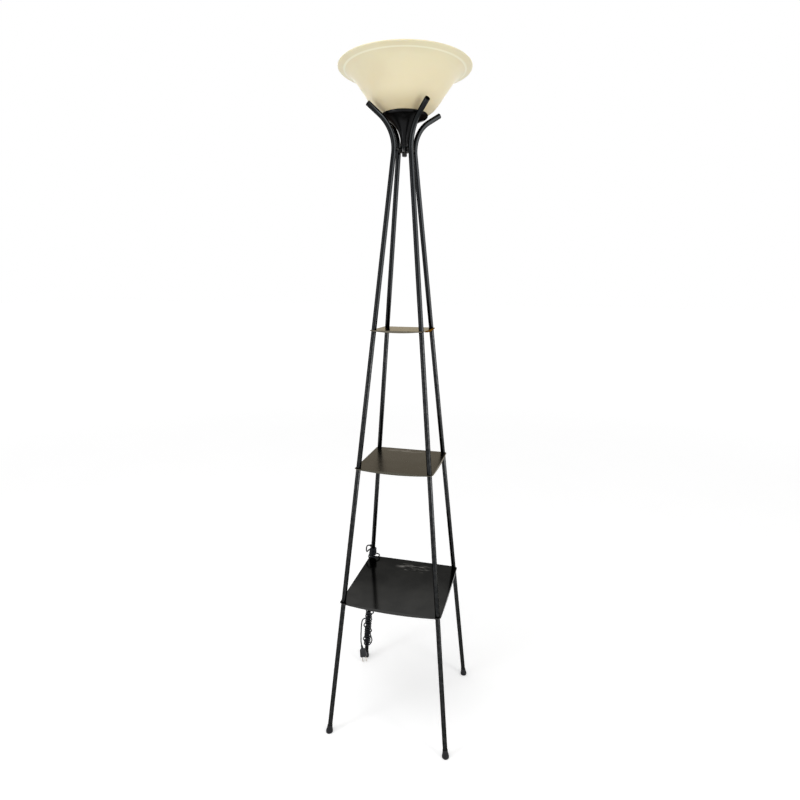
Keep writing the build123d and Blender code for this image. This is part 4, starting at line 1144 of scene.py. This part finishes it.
# %% Floor
FLOOR_SIZE = 60.0
FLOOR_Z = -0.5 * MM
FLOOR_GLOW = {"From Min": 0.8, "From Max": 7.0, "To Min": 0.33, "To Max": 0.56}
bpy.ops.object.select_all(action="DESELECT")
bpy.ops.mesh.primitive_plane_add(size=FLOOR_SIZE, location=(0, 0, FLOOR_Z))
floor = named("studio_floor")
bpy.ops.object.transform_apply(location=True)
floor_paper, tree, shader = new_material("floor_paper", {"Roughness": 1.0, "Specular IOR Level": 0.0})
tone = mixed(tree, noise(tree, 3.0), (0.90, 0.90, 0.90, 1), (0.92, 0.92, 0.92, 1))
path = add(tree, "ShaderNodeLightPath").outputs
seen = maths(tree, "MAXIMUM", path["Is Camera Ray"], path["Is Glossy Ray"])
away = distance(tree, place_in(tree))
fill = add(tree, "ShaderNodeMapRange", {"Value": away, **FLOOR_GLOW}).outputs["Result"]
feed(tree, shader, {"Base Color": tone, "Emission Strength": times(tree, seen, fill)})
shader.inputs["Emission Color"].default_value = (1, 1, 1, 1)
floor.data.materials.append(floor_paper)

# %% Room and lamps
ROOM_LIGHT = 0.55
world = bpy.data.worlds.new("studio_room")
bpy.context.scene.world = world
world.use_nodes = True
tree = world.node_tree
background = tree.nodes["Background"]
path = add(tree, "ShaderNodeLightPath").outputs
seen = maths(tree, "MAXIMUM", path["Is Camera Ray"], path["Is Glossy Ray"])
seen = maths(tree, "MAXIMUM", seen, path["Is Transmission Ray"])
tree.links.new(spread(tree, seen, ROOM_LIGHT, 1.0), background.inputs["Strength"])
background.inputs["Color"].default_value = (1, 1, 1, 1)


def softbox(name, place, target, size, power, colour=(1, 1, 1)):
    """An area lamp that faces its target."""
    bpy.ops.object.select_all(action="DESELECT")
    bpy.ops.object.light_add(type="AREA", location=place)
    lamp = bpy.context.object
    lamp.name = name
    lamp.data.shape = "RECTANGLE"
    lamp.data.size, lamp.data.size_y = size
    lamp.data.energy = power
    lamp.data.color = colour
    lamp.rotation_euler = (Vector(target) - Vector(place)).to_track_quat("-Z", "Y").to_euler()
    return lamp


def only_in_gloss(lamp):
    """Keeps a lamp out of the picture and out of matt surfaces: it is only mirrored."""
    lamp.visible_camera = False
    lamp.visible_diffuse = False


softbox("left_soft", (-1.7, -1.9, 1.3), (0, 0, 0.95), (0.6, 2.0), 16, (0.97, 0.98, 1.0))
softbox("right_soft", (2.3, -1.1, 1.3), (0, 0, 0.95), (0.6, 2.0), 18, (1.0, 0.99, 0.96))
softbox("top_soft", (-0.4, -0.8, 3.4), (0, 0, 1.4), (1.6, 1.6), 24)
tubes_only = bpy.data.collections.new("mirror_panels_reach")
for tube in tubes.values():
    tubes_only.objects.link(tube)
for panel in (
    softbox("tube_mirror", (1.2, 0.1, 1.55), (0, 0, 1.55), (2.8, 2.1), 81),
    softbox("tube_mirror_low", (1.2, 0.1, 0.25), (0, 0, 0.25), (2.8, 0.5), 6.6),
):
    only_in_gloss(panel)
    panel.light_linking.receiver_collection = tubes_only
only_in_gloss(softbox("shelf_mirror", (-0.33, 2.504, 2.873), (0, 0, 0.4), (7.0, 1.6), 54))
